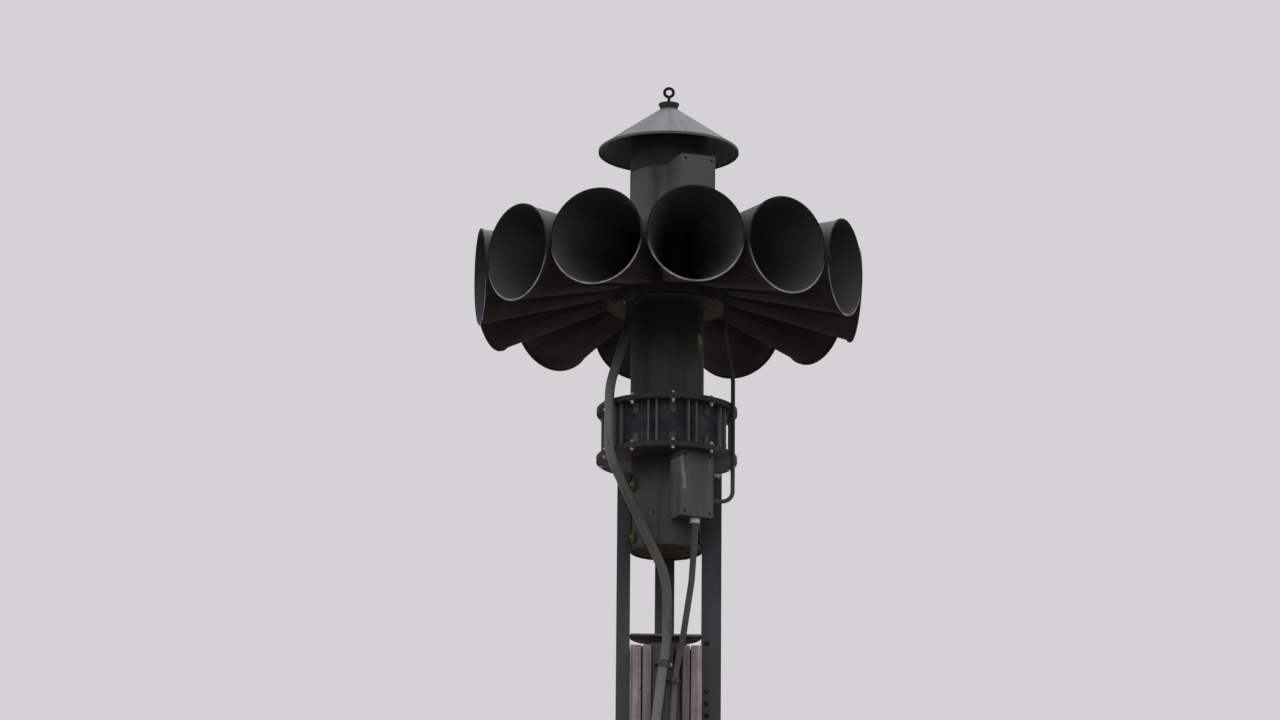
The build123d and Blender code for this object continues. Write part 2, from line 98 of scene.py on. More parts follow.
# %% Read the sizes
WIRING_TURN = math.radians(-8.2)
LEG_TURN = math.radians(-6.5)
CAGE_TURN = math.radians(-3.0)
LOWER_BOX_TURN = math.radians(18.3)
UPPER_BOX_TURN = math.radians(12.8)
LEFT_LEG = LEG_TURN - math.pi / 2
RIGHT_LEG = LEG_TURN + math.pi / 2
REAR_LEG = LEG_TURN + math.pi
LEGS = (LEFT_LEG, RIGHT_LEG, REAR_LEG)
HORNS = 12

lower_low, lower_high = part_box("lower_flange")
upper_low, upper_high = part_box("upper_flange")
can_low, can_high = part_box("motor_can")
_, pole_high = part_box("timber_pole")
board_low, board_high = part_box("packing_boards")
_, leg_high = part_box("left_leg")
neck_low, neck_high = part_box("neck_tube")
ring_z = 0.5 * (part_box("horn_01")[0].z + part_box("horn_01")[1].z)
print("ring at", round(ring_z, 3), "m, pole to", round(pole_high.z, 3), "m")
print("flange radius", round(lower_high.x, 3), "m, can radius", round(can_high.x, 3), "m")

# %% [markdown]
# ## The camera
#
# The picture was taken from head height, about 27 m from the horns, looking up with a
# long lens. Undersides show, and parallel lines hardly meet. A short lens up close would
# frame the siren as well, but it would make the horns balloon. The camera also leans a
# little, which tips the pole's top to the right.

# %% Set the camera
CAMERA_DISTANCE = 26.7
CAMERA_BELOW = math.radians(16.0)
CAMERA_PITCH = math.radians(15.36)
CAMERA_ROLL = math.radians(0.43)
FOCAL_PIXELS = 6675.0
PICTURE_WIDTH = 1280.0
AXIS_OFFSET_PIXELS = 28.3
SENSOR_WIDTH = 36.0
FAR_CLIP = 300.0

outward = radial(WIRING_TURN)
eye_point = outward * CAMERA_DISTANCE * math.cos(CAMERA_BELOW)
eye_point.z = ring_z - CAMERA_DISTANCE * math.sin(CAMERA_BELOW)
heading = Matrix.Rotation(math.atan(AXIS_OFFSET_PIXELS / FOCAL_PIXELS), 3, "Z") @ -outward
forward = heading * math.cos(CAMERA_PITCH) + up(math.sin(CAMERA_PITCH))
look = forward.to_track_quat("-Z", "Y").to_matrix() @ Matrix.Rotation(CAMERA_ROLL, 3, "Z")

camera_data = bpy.data.cameras.new("camera")
camera_data.sensor_width = SENSOR_WIDTH
camera_data.lens = FOCAL_PIXELS / PICTURE_WIDTH * SENSOR_WIDTH
camera_data.clip_end = FAR_CLIP
camera = bpy.data.objects.new("camera", camera_data)
camera.matrix_world = Matrix.Translation(eye_point) @ look.to_4x4()
bpy.context.scene.collection.objects.link(camera)
bpy.context.scene.camera = camera
print("camera", round(camera_data.lens, 1), "mm lens,", round(eye_point.z, 2), "m above the ground")

# %% [markdown]
# ## A short way to write nodes
#
# A finish is a small network of nodes. Each node could be made with four or five lines of
# plain bpy calls, but then the paint would be lost among them. This class makes a node,
# joins it up and gives back its output in one call. That output is called a pattern here.

# %% Nodes and arithmetic


class Network:
    """Adds nodes to a tree and joins them; a pattern is the output of a node."""

    def __init__(self, tree, coordinates="Object"):
        self.tree = tree
        self.place = self.add("TexCoord").outputs[coordinates]

    def add(self, kind):
        """A new shader node."""
        return self.tree.nodes.new("ShaderNode" + kind)

    def feed(self, socket, value):
        """Link a pattern to an input, or write a constant on it."""
        if isinstance(value, bpy.types.NodeSocket):
            self.tree.links.new(value, socket)
        elif socket.type == "RGBA":
            socket.default_value = (*value, 1.0)
        else:
            socket.default_value = value

    def math(self, operation, first, second=0.0):
        """Arithmetic on patterns or numbers."""
        node = self.add("Math")
        node.operation = operation
        self.feed(node.inputs[0], first)
        self.feed(node.inputs[1], second)
        return node.outputs[0]

    def times(self, first, *others):
        """Product of patterns and numbers."""
        for other in others:
            first = self.math("MULTIPLY", first, other)
        return first

    def plus(self, first, second):
        """Sum of patterns or numbers."""
        return self.math("ADD", first, second)

    def minus(self, first, second):
        """Difference of patterns or numbers."""
        return self.math("SUBTRACT", first, second)

    def on_vectors(self, operation, first, second=(0.0, 0.0, 0.0)):
        """Arithmetic on vectors; gives back the outputs, Vector and Value."""
        node = self.add("VectorMath")
        node.operation = operation
        self.feed(node.inputs[0], first)
        self.feed(node.inputs[1], second)
        return node.outputs

    def ramp(self, value, *stops):
        """Colour ramp; each stop is a position and a grey level or a colour."""
        node = self.add("ValToRGB")
        points = node.color_ramp.elements
        while len(points) < len(stops):
            points.new(0.5)
        for point, (position, colour) in zip(points, stops):
            level = (colour,) * 3 if isinstance(colour, (int, float)) else colour
            point.position = position
            point.color = (*level, 1.0)
        self.feed(node.inputs["Fac"], value)
        return node.outputs["Color"]

    def mix(self, factor, first, second, blend="MIX"):
        """Mix two colours by a factor; on this node they are inputs 6 and 7, and the result output 2."""
        node = self.add("Mix")
        node.data_type = "RGBA"
        node.blend_type = blend
        self.feed(node.inputs[0], factor)
        self.feed(node.inputs[6], first)
        self.feed(node.inputs[7], second)
        return node.outputs[2]


print("a network can add, feed, do arithmetic, ramp and mix")

# %% [markdown]
# ## Patterns that know where they are
#
# Stains and streaks depend on the place: how high it is, how far out, which way round.
# A painted picture could hold that, but it would need unwrapped surfaces. These patterns
# read the object's own coordinates instead. The pieces share one frame, so a stain runs
# on from a piece to its neighbour as it would on the real siren.

# %% Patterns by place


class Patterns(Network):
    """Patterns worked out from the place on the object."""

    def noise(self, scale, detail=4.0, stretch=(1.0, 1.0, 1.0), rough=0.55, vector=None):
        """Cloudy pattern; scale counts features per metre, a stretch under 1 draws it out on that axis."""
        mapping = self.add("Mapping")
        self.feed(mapping.inputs["Vector"], self.place if vector is None else vector)
        self.feed(mapping.inputs["Scale"], stretch)
        clouds = self.add("TexNoise")
        self.feed(clouds.inputs["Vector"], mapping.outputs["Vector"])
        self.feed(clouds.inputs["Scale"], scale)
        self.feed(clouds.inputs["Detail"], detail)
        self.feed(clouds.inputs["Roughness"], rough)
        return clouds.outputs["Fac"]

    def wave(self, direction, scale):
        """Even bands across a direction."""
        bands = self.add("TexWave")
        bands.bands_direction = direction
        self.feed(bands.inputs["Vector"], self.place)
        self.feed(bands.inputs["Scale"], scale)
        return bands.outputs["Fac"]

    def part(self, axis):
        """One coordinate of the place, 0, 1 or 2."""
        split = self.add("SeparateXYZ")
        self.feed(split.inputs[0], self.place)
        return split.outputs[axis]

    def above(self, z):
        """How far the place lies over a height."""
        return self.minus(self.part(2), z)

    def under(self, z):
        """How far the place lies under a height."""
        return self.minus(z, self.part(2))

    def along(self, direction, vector=None):
        """How far the place, or another vector, lies along a direction."""
        return self.on_vectors("DOT_PRODUCT", self.place if vector is None else vector, direction)["Value"]

    def near(self, point, radius):
        """1 at a point, fading to 0 at a radius; noise makes the edge ragged."""
        away = self.on_vectors("DISTANCE", self.place, point)["Value"]
        ragged = self.times(self.noise(55.0), radius)
        return self.ramp(self.math("DIVIDE", self.plus(away, ragged), radius), (0.80, 1.0), (1.25, 0.0))

    def band(self, value, low, high, soft):
        """1 while a value lies between two limits, with soft ends."""
        rise = self.ramp(self.times(self.minus(value, low), 1.0 / soft), (0.0, 0.0), (1.0, 1.0))
        fall = self.ramp(self.times(self.minus(high, value), 1.0 / soft), (0.0, 0.0), (1.0, 1.0))
        return self.math("MINIMUM", rise, fall)


print("patterns: noise, wave, heights, directions, spots and bands")

# %% [markdown]
# ## A finish
#
# Paint, steel and wood all differ in colour, gloss and fine relief. One Principled shader
# can stand for each of them, so a finish is that shader with patterns sent to its colour,
# its roughness and its bump. Old outdoor paint hardly shines, so its gloss starts low.

# %% The finish helper


class Finish(Patterns):
    """A material round Blender's Principled shader."""

    def __init__(self, name, roughness, metallic=0.0, gloss=0.08):
        self.material = bpy.data.materials.new(name)
        self.material.use_nodes = True
        super().__init__(self.material.node_tree)
        self.shader = self.tree.nodes["Principled BSDF"]
        self.feed(self.shader.inputs["Roughness"], roughness)
        self.feed(self.shader.inputs["Metallic"], metallic)
        self.feed(self.shader.inputs["Specular IOR Level"], gloss)
        self.normal = self.add("NewGeometry").outputs["Normal"]

    def upness(self):
        """1 where the surface faces the sky, 0 where it faces the ground."""
        return self.plus(self.times(self.along(up(1.0), self.normal), 0.5), 0.5)

    def roughness(self, pattern):
        """Send a pattern to the roughness."""
        self.feed(self.shader.inputs["Roughness"], pattern)

    def bump(self, height, strength, depth):
        """Roughen the surface by a pattern."""
        node = self.add("Bump")
        self.feed(node.inputs["Height"], height)
        self.feed(node.inputs["Strength"], strength)
        self.feed(node.inputs["Distance"], depth)
        self.feed(self.shader.inputs["Normal"], node.outputs["Normal"])

    def close(self, colour):
        """Send the colour to the shader and give back the material."""
        self.feed(self.shader.inputs["Base Color"], colour)
        return self.material


print("a finish is a Principled shader with patterns for colour, roughness and bump")

# %% [markdown]
# ## Siren paint
#
# The siren wears one coat of matte grey paint. Years outdoors have chalked it where it
# faces the sky, run dirt down its sides and left brown grime underneath. Both also carry
# painted light and shade. The chalk is paler than chalking alone, as painted sky light on
# what faces up, and the grime is darker than dirt alone, as painted shade underneath. A
# brush could paint such stains on one piece, but there are dozens. So the colour is mixed
# by which way the surface faces. Long thin noise makes the runs, and specks of rust come
# through where the film has failed.

# %% Weathered paint
CHALK_AND_SKY_LIGHT = (0.190, 0.196, 0.200)
RUN_DIRT = (0.040, 0.037, 0.035)
GRIME_AND_SHADE = (0.026, 0.021, 0.019)
RUST_DARK = (0.034, 0.020, 0.013)
RUST_LIGHT = (0.125, 0.066, 0.036)


def painted(name, dark, light, rust_below=0.0, speck=0.68, grime=0.72,
            chalk_and_light_colour=CHALK_AND_SKY_LIGHT, least_chalk_and_light=0.35, run_dirt=0.75):
    """Weathered paint, not yet closed: gives back the finish and its colour."""
    finish = Finish(name, roughness=0.62)
    upness = finish.upness()
    clouds = finish.ramp(finish.noise(2.2, 5.0), (0.36, 0.0), (0.66, 1.0))
    colour = finish.mix(clouds, dark, light)

    # Painted sky light: chalk on faces toward the sky, paler than chalking alone.
    sky_side = finish.ramp(upness, (0.56, 0.0), (0.92, 1.0))
    chalk_and_light_mask = finish.ramp(finish.noise(7.0, 6.0), (0.28, least_chalk_and_light), (0.70, 1.0))
    colour = finish.mix(finish.times(sky_side, chalk_and_light_mask), colour, chalk_and_light_colour)
    runs = finish.ramp(finish.noise(16.0, 5.0, stretch=(1.0, 1.0, 0.07)), (0.50, 0.0), (0.74, run_dirt))
    colour = finish.mix(runs, colour, RUN_DIRT)

    # Painted shade: grime on faces toward the ground, darker than dirt alone.
    below = finish.ramp(upness, (0.06, 1.0), (0.40, 0.0))
    colour = finish.mix(finish.times(below, grime), colour, GRIME_AND_SHADE)
    rust = finish.ramp(finish.noise(9.0, 7.0, rough=0.65), (0.34, RUST_DARK), (0.62, RUST_LIGHT))
    patches = finish.ramp(finish.noise(3.4), (0.38, 0.0), (0.56, 1.0))
    colour = finish.mix(finish.times(below, patches, rust_below), colour, rust)
    specks = finish.ramp(finish.noise(42.0, 6.0, rough=0.7), (speck, 0.0), (speck + 0.05, 0.9))
    colour = finish.mix(specks, colour, RUST_LIGHT)

    finish.roughness(finish.ramp(finish.noise(11.0), (0.3, 0.52), (0.7, 0.74)))
    finish.bump(finish.mix(0.25, finish.noise(260.0, 2.0), finish.noise(24.0, 5.0)), 0.35, 0.0012)
    return finish, colour


def paint(name, dark, light, **wear):
    """Weathered paint with no mark of its own."""
    finish, colour = painted(name, dark, light, **wear)
    return finish.close(colour)


print("paint takes a dark and a light shade, and how much it has worn")

# %% [markdown]
# ## The paints without marks
#
# The coat isn't one grey any more. The housing under the cap has bleached, the flanges
# have rusted underneath, where painted shade darkens them too, and the cage's posts and
# clips catch more light.
# Each could have its own recipe, but one recipe with other shades keeps them a family.

# %% Make the plain paints
TOP_DARK = (0.132, 0.136, 0.135)
TOP_LIGHT = (0.168, 0.172, 0.170)

siren_paint = paint("siren_paint", (0.058, 0.060, 0.060), (0.078, 0.080, 0.080))
top_paint = paint("top_paint", TOP_DARK, TOP_LIGHT, grime=0.0, speck=0.73)
flange_paint = paint(
    "flange_paint", (0.044, 0.044, 0.045), (0.068, 0.067, 0.066),
    rust_below=0.35, speck=0.62, grime=0.9,
)
clip_paint = paint("clip_paint", (0.120, 0.110, 0.115), (0.165, 0.150, 0.155), speck=0.62)
cage_paint = paint("cage_paint", (0.120, 0.121, 0.124), (0.180, 0.181, 0.184), speck=0.66)
upper_box_paint = paint("upper_box_paint", (0.108, 0.112, 0.110), (0.136, 0.140, 0.138), speck=0.72)
print("plain paints made, from", siren_paint.name, "to", upper_box_paint.name)

# %% [markdown]
# ## Streaks on the rain cap
#
# Rain runs from the cap's collar straight down to its edge, and draws pale and dark
# streaks on the cone. Noise stretched along one axis can't do that, because every streak
# points another way. So the noise reads only the direction from the middle line, which
# stays the same all the way down the cone.

# %% Make the cap paint


def cap_finish():
    """Evenly chalked paint, also painted sky light, with dark streaks that fan out from the collar."""
    # The strong pale chalk on the cone is partly painted sky light.
    finish, colour = painted(
        "cap_paint", TOP_DARK, TOP_LIGHT, grime=0.0, speck=0.73,
        chalk_and_light_colour=(0.245, 0.252, 0.262), least_chalk_and_light=0.80, run_dirt=0.0,
    )
    level = finish.on_vectors("MULTIPLY", finish.place, (1.0, 1.0, 0.0))["Vector"]
    way = finish.on_vectors("NORMALIZE", level)["Vector"]
    streaks = finish.ramp(finish.noise(6.0, 6.0, rough=0.7, vector=way), (0.42, 0.0), (0.70, 0.42))
    return finish.close(finish.mix(streaks, colour, (0.085, 0.084, 0.084)))


cap_paint = cap_finish()
print(cap_paint.name, "made with", len(cap_paint.node_tree.nodes), "nodes")

# %% [markdown]
# ## The neck's yellow patch
#
# The neck is darker where it meets the drum, as painted shade under the drum, and has lost
# its paint in one patch high on its right, yellow at the top and brown below. A patch is a
# spot with a ragged edge round a point. Three overlapping spots give it its long shape and
# its change of colour.

# %% Make the neck paint
NECK_PATCHES = (
    # azimuth, height over the ring, size, colour
    (math.radians(57.0), -0.300, 0.052, (0.100, 0.074, 0.056)),
    (math.radians(56.0), -0.270, 0.044, (0.150, 0.115, 0.080)),
    (math.radians(56.0), -0.242, 0.046, (0.360, 0.305, 0.175)),
)


def neck_finish():
    """Siren paint with painted shade under the drum, and one patch of yellow rust."""
    finish, colour = painted("neck_paint", (0.072, 0.074, 0.077), (0.104, 0.106, 0.110))
    uneven = finish.times(finish.noise(9.0, 5.0, stretch=(1.0, 1.0, 0.4)), 0.12)
    # Painted shade: the neck darkens toward the drum above it.
    drum_shade = finish.ramp(finish.minus(finish.under(neck_high.z), uneven), (0.06, 0.80), (0.22, 0.0))
    colour = finish.mix(drum_shade, colour, (0.020, 0.018, 0.018))
    for azimuth, height, size, rust in NECK_PATCHES:
        spot = finish.near(at(azimuth, neck_high.x, ring_z + height), size)
        colour = finish.mix(spot, colour, rust)
    return finish.close(colour)


neck_paint = neck_finish()
print(neck_paint.name, "made, with", len(NECK_PATCHES), "spots in its patch")

# %% [markdown]
# ## The motor can's painted shadow and rim
#
# The flange's shadow is painted dark on the can's top, and the rim at its bottom edge
# flakes, because water hangs there longest. Both follow the height, so the finish measures
# down from the can's top and up from its foot, and noise breaks up the line.

# %% Make the can paint


def can_finish():
    """Can paint with the flange's shadow painted dark on its top and rust along the bottom rim."""
    finish, colour = painted(
        "can_paint", (0.088, 0.090, 0.089), (0.114, 0.116, 0.114), rust_below=0.6, grime=0.9,
    )
    # Painted shadow: the can's top darkens under the flange.
    uneven = finish.times(finish.noise(8.0, 5.0, stretch=(1.0, 1.0, 0.3)), 0.10)
    flange_shadow = finish.ramp(finish.minus(finish.under(can_high.z), uneven), (0.00, 0.80), (0.09, 0.0))
    colour = finish.mix(flange_shadow, colour, (0.036, 0.034, 0.034))
    rim = finish.ramp(finish.above(can_low.z), (0.002, 0.9), (0.016, 0.0))
    flaking = finish.ramp(finish.noise(30.0, 6.0), (0.40, 0.2), (0.60, 1.0))
    return finish.close(finish.mix(finish.times(rim, flaking), colour, (0.075, 0.046, 0.030)))


can_paint = can_finish()
print(can_paint.name, "made, for a can", round(can_high.z - can_low.z, 3), "m high")

# %% [markdown]
# ## The scratch on the lower box
#
# Something has scraped the lower box to bright steel, in a bent line beside its front left
# edge. It could be modelled as a groove, but only the paint is gone. So the bend is
# written as a few points down the lid, and the finish paints the pieces between them.

# %% Make the lower box paint
BRIGHT_STEEL = (0.420, 0.420, 0.410)
SCRATCH_WIDTH = 0.0110
SCRATCH = (
    # height over the ring, place across the lid
    (-0.758, -0.047),
    (-0.786, -0.045),
    (-0.820, -0.041),
    (-0.858, -0.034),
    (-0.892, -0.033),
)


def lower_box_finish():
    """Box paint with the scratch, worked out as short straight pieces down the lid."""
    finish, colour = painted(
        "lower_box_paint", (0.120, 0.123, 0.122), (0.150, 0.153, 0.151), rust_below=0.7, speck=0.71,
    )
    across = finish.along(tangent(LOWER_BOX_TURN))
    height = finish.above(ring_z)
    ragged = finish.times(finish.minus(finish.noise(60.0), 0.5), 0.010)
    for (top, start), (bottom, end) in zip(SCRATCH, SCRATCH[1:]):
        slope = (end - start) / (bottom - top)
        line = finish.plus(finish.times(finish.minus(height, top), slope), start)
        gap = finish.math("ABSOLUTE", finish.plus(finish.minus(across, line), ragged))
        worn = finish.ramp(gap, (0.0, 0.75), (SCRATCH_WIDTH, 0.0))
        inside = finish.band(height, bottom, top, 0.002)
        colour = finish.mix(finish.times(worn, inside), colour, BRIGHT_STEEL)
    return finish.close(colour)


lower_box_paint = lower_box_finish()
print(lower_box_paint.name, "made, scratched over", round(SCRATCH[0][0] - SCRATCH[-1][0], 3), "m")

# %% [markdown]
# ## Faded legs
#
# The legs get paler toward the pole. The right leg also has a pale chip on its top edge.
# One recipe serves all three: the drop below the leg's top drives the fading, and the
# chip is one more spot, placed at the leg's corner.

# %% Make the leg paints
LEG_HALF_WIDTH = 0.038
CHIP_REACH = 0.203
CHIP_SIZE = 0.034


def leg_finish(name, pale):
    """Leg paint that gets paler toward the pole, not yet closed."""
    finish, colour = painted(name, (0.056, 0.059, 0.061), (0.088, 0.091, 0.093))
    faded = finish.ramp(finish.times(finish.under(leg_high.z), 0.5), (0.15, 0.0), (0.38, pale))
    return finish, finish.mix(faded, colour, (0.150, 0.152, 0.153))


def right_leg_finish():
    """Leg paint with a pale chip on the leg's top edge."""
    finish, colour = leg_finish("right_leg_paint", 0.25)
    chip = at(RIGHT_LEG, CHIP_REACH, leg_high.z) - tangent(RIGHT_LEG) * LEG_HALF_WIDTH
    return finish.close(finish.mix(finish.near(chip, CHIP_SIZE), colour, (0.85, 0.84, 0.80)))


def plain_leg_finish():
    """Leg paint without the chip, for the left and the rear leg."""
    finish, colour = leg_finish("leg_paint", 0.60)
    return finish.close(colour)


right_leg_paint = right_leg_finish()
leg_paint = plain_leg_finish()
print("leg paints made:", right_leg_paint.name, "and", leg_paint.name)

# %% [markdown]
# ## Ochre lugs
#
# The lugs left of the wiring have gone ochre with rust, and those right of it kept their
# grey. They are one piece in the model. Two materials could split it, but one finish that
# asks on which side of the wiring it is does the same.

# %% Make the lug paint


def lug_finish():
    """Grey lug paint, turned ochre left of the wiring."""
    finish, colour = painted("lug_paint", (0.046, 0.045, 0.043), (0.070, 0.068, 0.064), speck=0.62)
    ochre = finish.ramp(finish.noise(30.0), (0.38, (0.060, 0.045, 0.022)), (0.60, (0.150, 0.105, 0.036)))
    left = finish.math("LESS_THAN", finish.along(tangent(WIRING_TURN)), 0.0)
    return finish.close(finish.mix(finish.times(left, 0.55), colour, ochre))


lug_paint = lug_finish()
print(lug_paint.name, "made")

# %% [markdown]
# ## Outside of a horn
#
# A horn is folded and rolled from sheet. Its top has chalked like the rest, paler than
# chalk alone as painted sky light, and its sides and underside have gone matt and brown
# with grime, darker than dirt alone as painted shade, the more so toward the drum. The
# grime and the painted shade are mixed by which way the sheet faces and by the distance
# from the drum.

# %% Horn paint outside


def horn_outside(finish, upness, reach, below, runs):
    """Chalk with painted sky light on top, grime with painted shade below, with runs and specks of rust
    over both.
    """
    clouds = finish.ramp(finish.noise(2.6, 5.0), (0.36, 0.0), (0.66, 1.0))
    colour = finish.mix(clouds, (0.072, 0.074, 0.075), (0.098, 0.100, 0.101))
    # Painted sky light: chalk on the top of the horn.
    sky_side = finish.ramp(upness, (0.60, 0.0), (0.95, 1.0))
    chalk_and_light_mask = finish.ramp(finish.noise(6.0, 6.0), (0.28, 0.3), (0.70, 0.95))
    colour = finish.mix(finish.times(sky_side, chalk_and_light_mask), colour, (0.165, 0.170, 0.174))

    # Painted shade: brown grime underneath, darker than dirt alone.
    clouds = finish.noise(3.2, 5.0)
    grime = finish.ramp(clouds, (0.40, (0.054, 0.045, 0.041)), (0.64, (0.106, 0.088, 0.081)))
    colour = finish.mix(below, colour, grime)
    # Painted shade on the underside, deepest near the drum.
    shade_by_drum = finish.ramp(reach, (0.30, 0.85), (0.76, 0.0))
    colour = finish.mix(finish.times(shade_by_drum, below), colour, (0.048, 0.041, 0.037))

    colour = finish.mix(runs, colour, RUN_DIRT)
    specks = finish.ramp(finish.noise(30.0, 7.0, rough=0.72), (0.67, 0.0), (0.71, 0.85))
    return finish.mix(specks, colour, (0.115, 0.062, 0.038))


print("outside of the horns written")

# %% [markdown]
# ## Inside of a horn
#
# Looking into a horn, most of the darkness is plain shadow. On the side under the horn's
# roof the colour gets paler toward the throat, as painted light that lifts that shadow. On
# the floor side the colour gets darker toward the throat, as painted shade. The two sides
# are told apart by which way the sheet faces.

# %% Horn paint inside


def horn_inside(finish, upness, reach, runs):
    """Painted light under the roof, painted shade on the floor, and a little run dirt."""
    # Painted light: the roof side gets paler toward the throat.
    roof_with_painted_light = finish.ramp(reach, (0.26, 0.20), (0.52, 0.13), (0.74, (0.076, 0.078, 0.080)))
    # Painted shade: the floor side gets darker toward the throat.
    floor_with_painted_shade = finish.ramp(
        reach,
        (0.28, (0.050, 0.048, 0.048)),
        (0.60, (0.064, 0.064, 0.066)),
        (0.75, (0.090, 0.092, 0.094)),
    )
    colour = finish.mix(finish.ramp(upness, (0.28, 0.0), (0.52, 1.0)), roof_with_painted_light, floor_with_painted_shade)
    return finish.mix(finish.times(runs, 0.6), colour, RUN_DIRT)


print("inside of the horns written")

# %% [markdown]
# ## Rim of a horn
#
# The rolled lip round the mouth is painted dark, as painted shade, and its lower half,
# where a rolled lip catches the sky, has a painted highlight in a bright line. The lip is
# found by measuring along the horn's own axis: all that lies past a plane just behind the
# mouth is rim.

# %% Horn rim
MOUTH_REACH = 0.756
MOUTH_DROOP = math.radians(1.6)
RIM_DEPTH = 0.0016
LIT_LIP_RADIUS = 0.1872


def horn_rim(finish, colour, axis, sideways, height):
    """Rim in painted shade, with a painted highlight along its lower half."""
    front = finish.along(axis - up(math.tan(MOUTH_DROOP)))
    front_edge = MOUTH_REACH - ring_z * math.tan(MOUTH_DROOP) - RIM_DEPTH
    rim = finish.math("GREATER_THAN", front, front_edge)
    square = finish.plus(finish.math("POWER", sideways, 2.0), finish.math("POWER", height, 2.0))
    outer_lip = finish.math("GREATER_THAN", square, LIT_LIP_RADIUS ** 2)
    lower_half = finish.ramp(finish.times(height, -4.0), (0.10, 0.0), (0.50, 1.0))
    uneven = finish.ramp(finish.noise(18.0, 5.0), (0.30, 0.40), (0.60, 1.0))
    # Painted shade over the whole rim.
    colour = finish.mix(finish.times(rim, 0.9), colour, (0.016, 0.015, 0.015))
    # Painted highlight on the outer part of the lower lip.
    return finish.mix(finish.times(outer_lip, rim, lower_half, uneven), colour, (0.46, 0.46, 0.45))


# The radius is where the painted highlight on the lip begins.
print("rim", RIM_DEPTH * 1000, "mm deep, worn outside a radius of", LIT_LIP_RADIUS, "m")

# %% [markdown]
# ## Horn paint
#
# Inside and outside of the thin sheet are one surface in the mesh. Outside, the surface
# faces away from the horn's axis, and inside it faces toward it, which tells them apart.
# Each horn gets its own copy of the finish, because all of this is measured from its axis.

# %% Make the horn paints


def horn_finish(index):
    """Paint for one horn: outside, inside and rim, with painted light and shade, and matt grime below."""
    finish = Finish(f"horn_paint_{index + 1:02d}", roughness=0.58)
    axis = radial(math.tau * index / HORNS)
    beside = tangent(math.tau * index / HORNS)
    upness = finish.upness()
    height = finish.above(ring_z)
    reach = finish.along(axis)
    sideways = finish.along(beside)
    below = finish.ramp(upness, (0.51, 0.97), (0.78, 0.0))
    runs = finish.ramp(finish.noise(12.0, 5.0, stretch=(1.0, 1.0, 0.12)), (0.52, 0.0), (0.76, 0.6))

    level_part = finish.times(sideways, finish.along(beside, finish.normal))
    upright_part = finish.times(height, finish.minus(upness, 0.5), 2.0)
    inside = finish.math("LESS_THAN", finish.plus(level_part, upright_part), 0.0)
    outer = horn_outside(finish, upness, reach, below, runs)
    inner = horn_inside(finish, upness, reach, runs)
    colour = horn_rim(finish, finish.mix(inside, outer, inner), axis, sideways, height)

    sheen = finish.ramp(finish.noise(10.0), (0.3, 0.48), (0.7, 0.70))
    grimy = finish.times(below, finish.minus(1.0, inside))
    finish.roughness(finish.mix(grimy, sheen, (1.0, 1.0, 1.0)))
    finish.bump(finish.mix(0.45, finish.noise(5.0, 3.0), finish.noise(230.0, 2.0)), 0.35, 0.0020)
    return finish.close(colour)


horn_paints = [horn_finish(index) for index in range(HORNS)]
print(len(horn_paints), "horn paints made")

# %% [markdown]
# ## Rusty steel
#
# The plate on the pole, the can's end plate, the drum's wall, the rotor, the seams and the
# screws are bare steel, rusted or sooty. Rust isn't one brown: dark old scale lies beside
# lighter flakes. A single noise would look like cloud, so one noise picks between three
# shades, and a broader one lays the darkest over them in blotches.

# %% Make the rusty steel


def rusty_finish(name, dark, middle, light):
    """Bare steel under old rust."""
    finish = Finish(name, roughness=0.85)
    scale = finish.noise(6.0, 8.0, rough=0.68)
    colour = finish.ramp(scale, (0.34, dark), (0.50, middle), (0.66, light))
    blotch = finish.ramp(finish.noise(2.4), (0.40, 0.0), (0.62, 0.8))
    finish.roughness(finish.ramp(scale, (0.3, 0.95), (0.7, 0.70)))
    finish.bump(finish.noise(90.0, 8.0, rough=0.7), 0.6, 0.0020)
    return finish.close(finish.mix(blotch, colour, dark))


RUSTY_STEELS = {
    "plate_rust": ((0.150, 0.130, 0.128), (0.280, 0.236, 0.224), (0.400, 0.328, 0.290)),
    "can_end_rust": ((0.023, 0.013, 0.005), (0.052, 0.032, 0.012), (0.082, 0.052, 0.020)),
    "seam_rust": ((0.044, 0.032, 0.027), (0.094, 0.067, 0.056), (0.148, 0.104, 0.086)),
    "dark_steel": ((0.022, 0.021, 0.021), (0.038, 0.034, 0.033), (0.060, 0.048, 0.041)),
    "wall_steel": ((0.052, 0.048, 0.047), (0.084, 0.074, 0.072), (0.130, 0.106, 0.094)),
    "rotor_soot": ((0.020, 0.018, 0.018), (0.030, 0.028, 0.027), (0.045, 0.040, 0.038)),
    "rusty_bolt": ((0.018, 0.016, 0.016), (0.045, 0.038, 0.034), (0.090, 0.070, 0.056)),
}
rusty = {name: rusty_finish(name, *shades) for name, shades in RUSTY_STEELS.items()}
print(len(rusty), "rusty steels made")

# %% [markdown]
# ## The drum's floor
#
# The floor is dark paint, and left and right of the neck the film has come off and the
# steel has rusted. The rust starts at a distance to the side of the middle, so the finish
# measures across the view, and noise makes the border uneven.

# %% Make the floor of the drum


def floor_of_drum():
    """Dark paint, rusty left and right of the neck."""
    finish = Finish("drum_floor", roughness=0.85)
    rust = finish.ramp(
        finish.noise(6.0, 8.0, rough=0.68),
        (0.34, (0.030, 0.021, 0.017)),
        (0.50, (0.080, 0.051, 0.040)),
        (0.66, (0.120, 0.080, 0.064)),
    )
    aside = finish.math("ABSOLUTE", finish.along(tangent(WIRING_TURN)))
    uneven = finish.times(finish.noise(9.0, 5.0), 0.05)
    bare = finish.ramp(finish.plus(aside, uneven), (0.150, 0.0), (0.172, 1.0))
    finish.bump(finish.noise(90.0, 8.0, rough=0.7), 0.6, 0.0020)
    return finish.close(finish.mix(bare, (0.026, 0.024, 0.024), rust))


drum_floor = floor_of_drum()
print(drum_floor.name, "made")

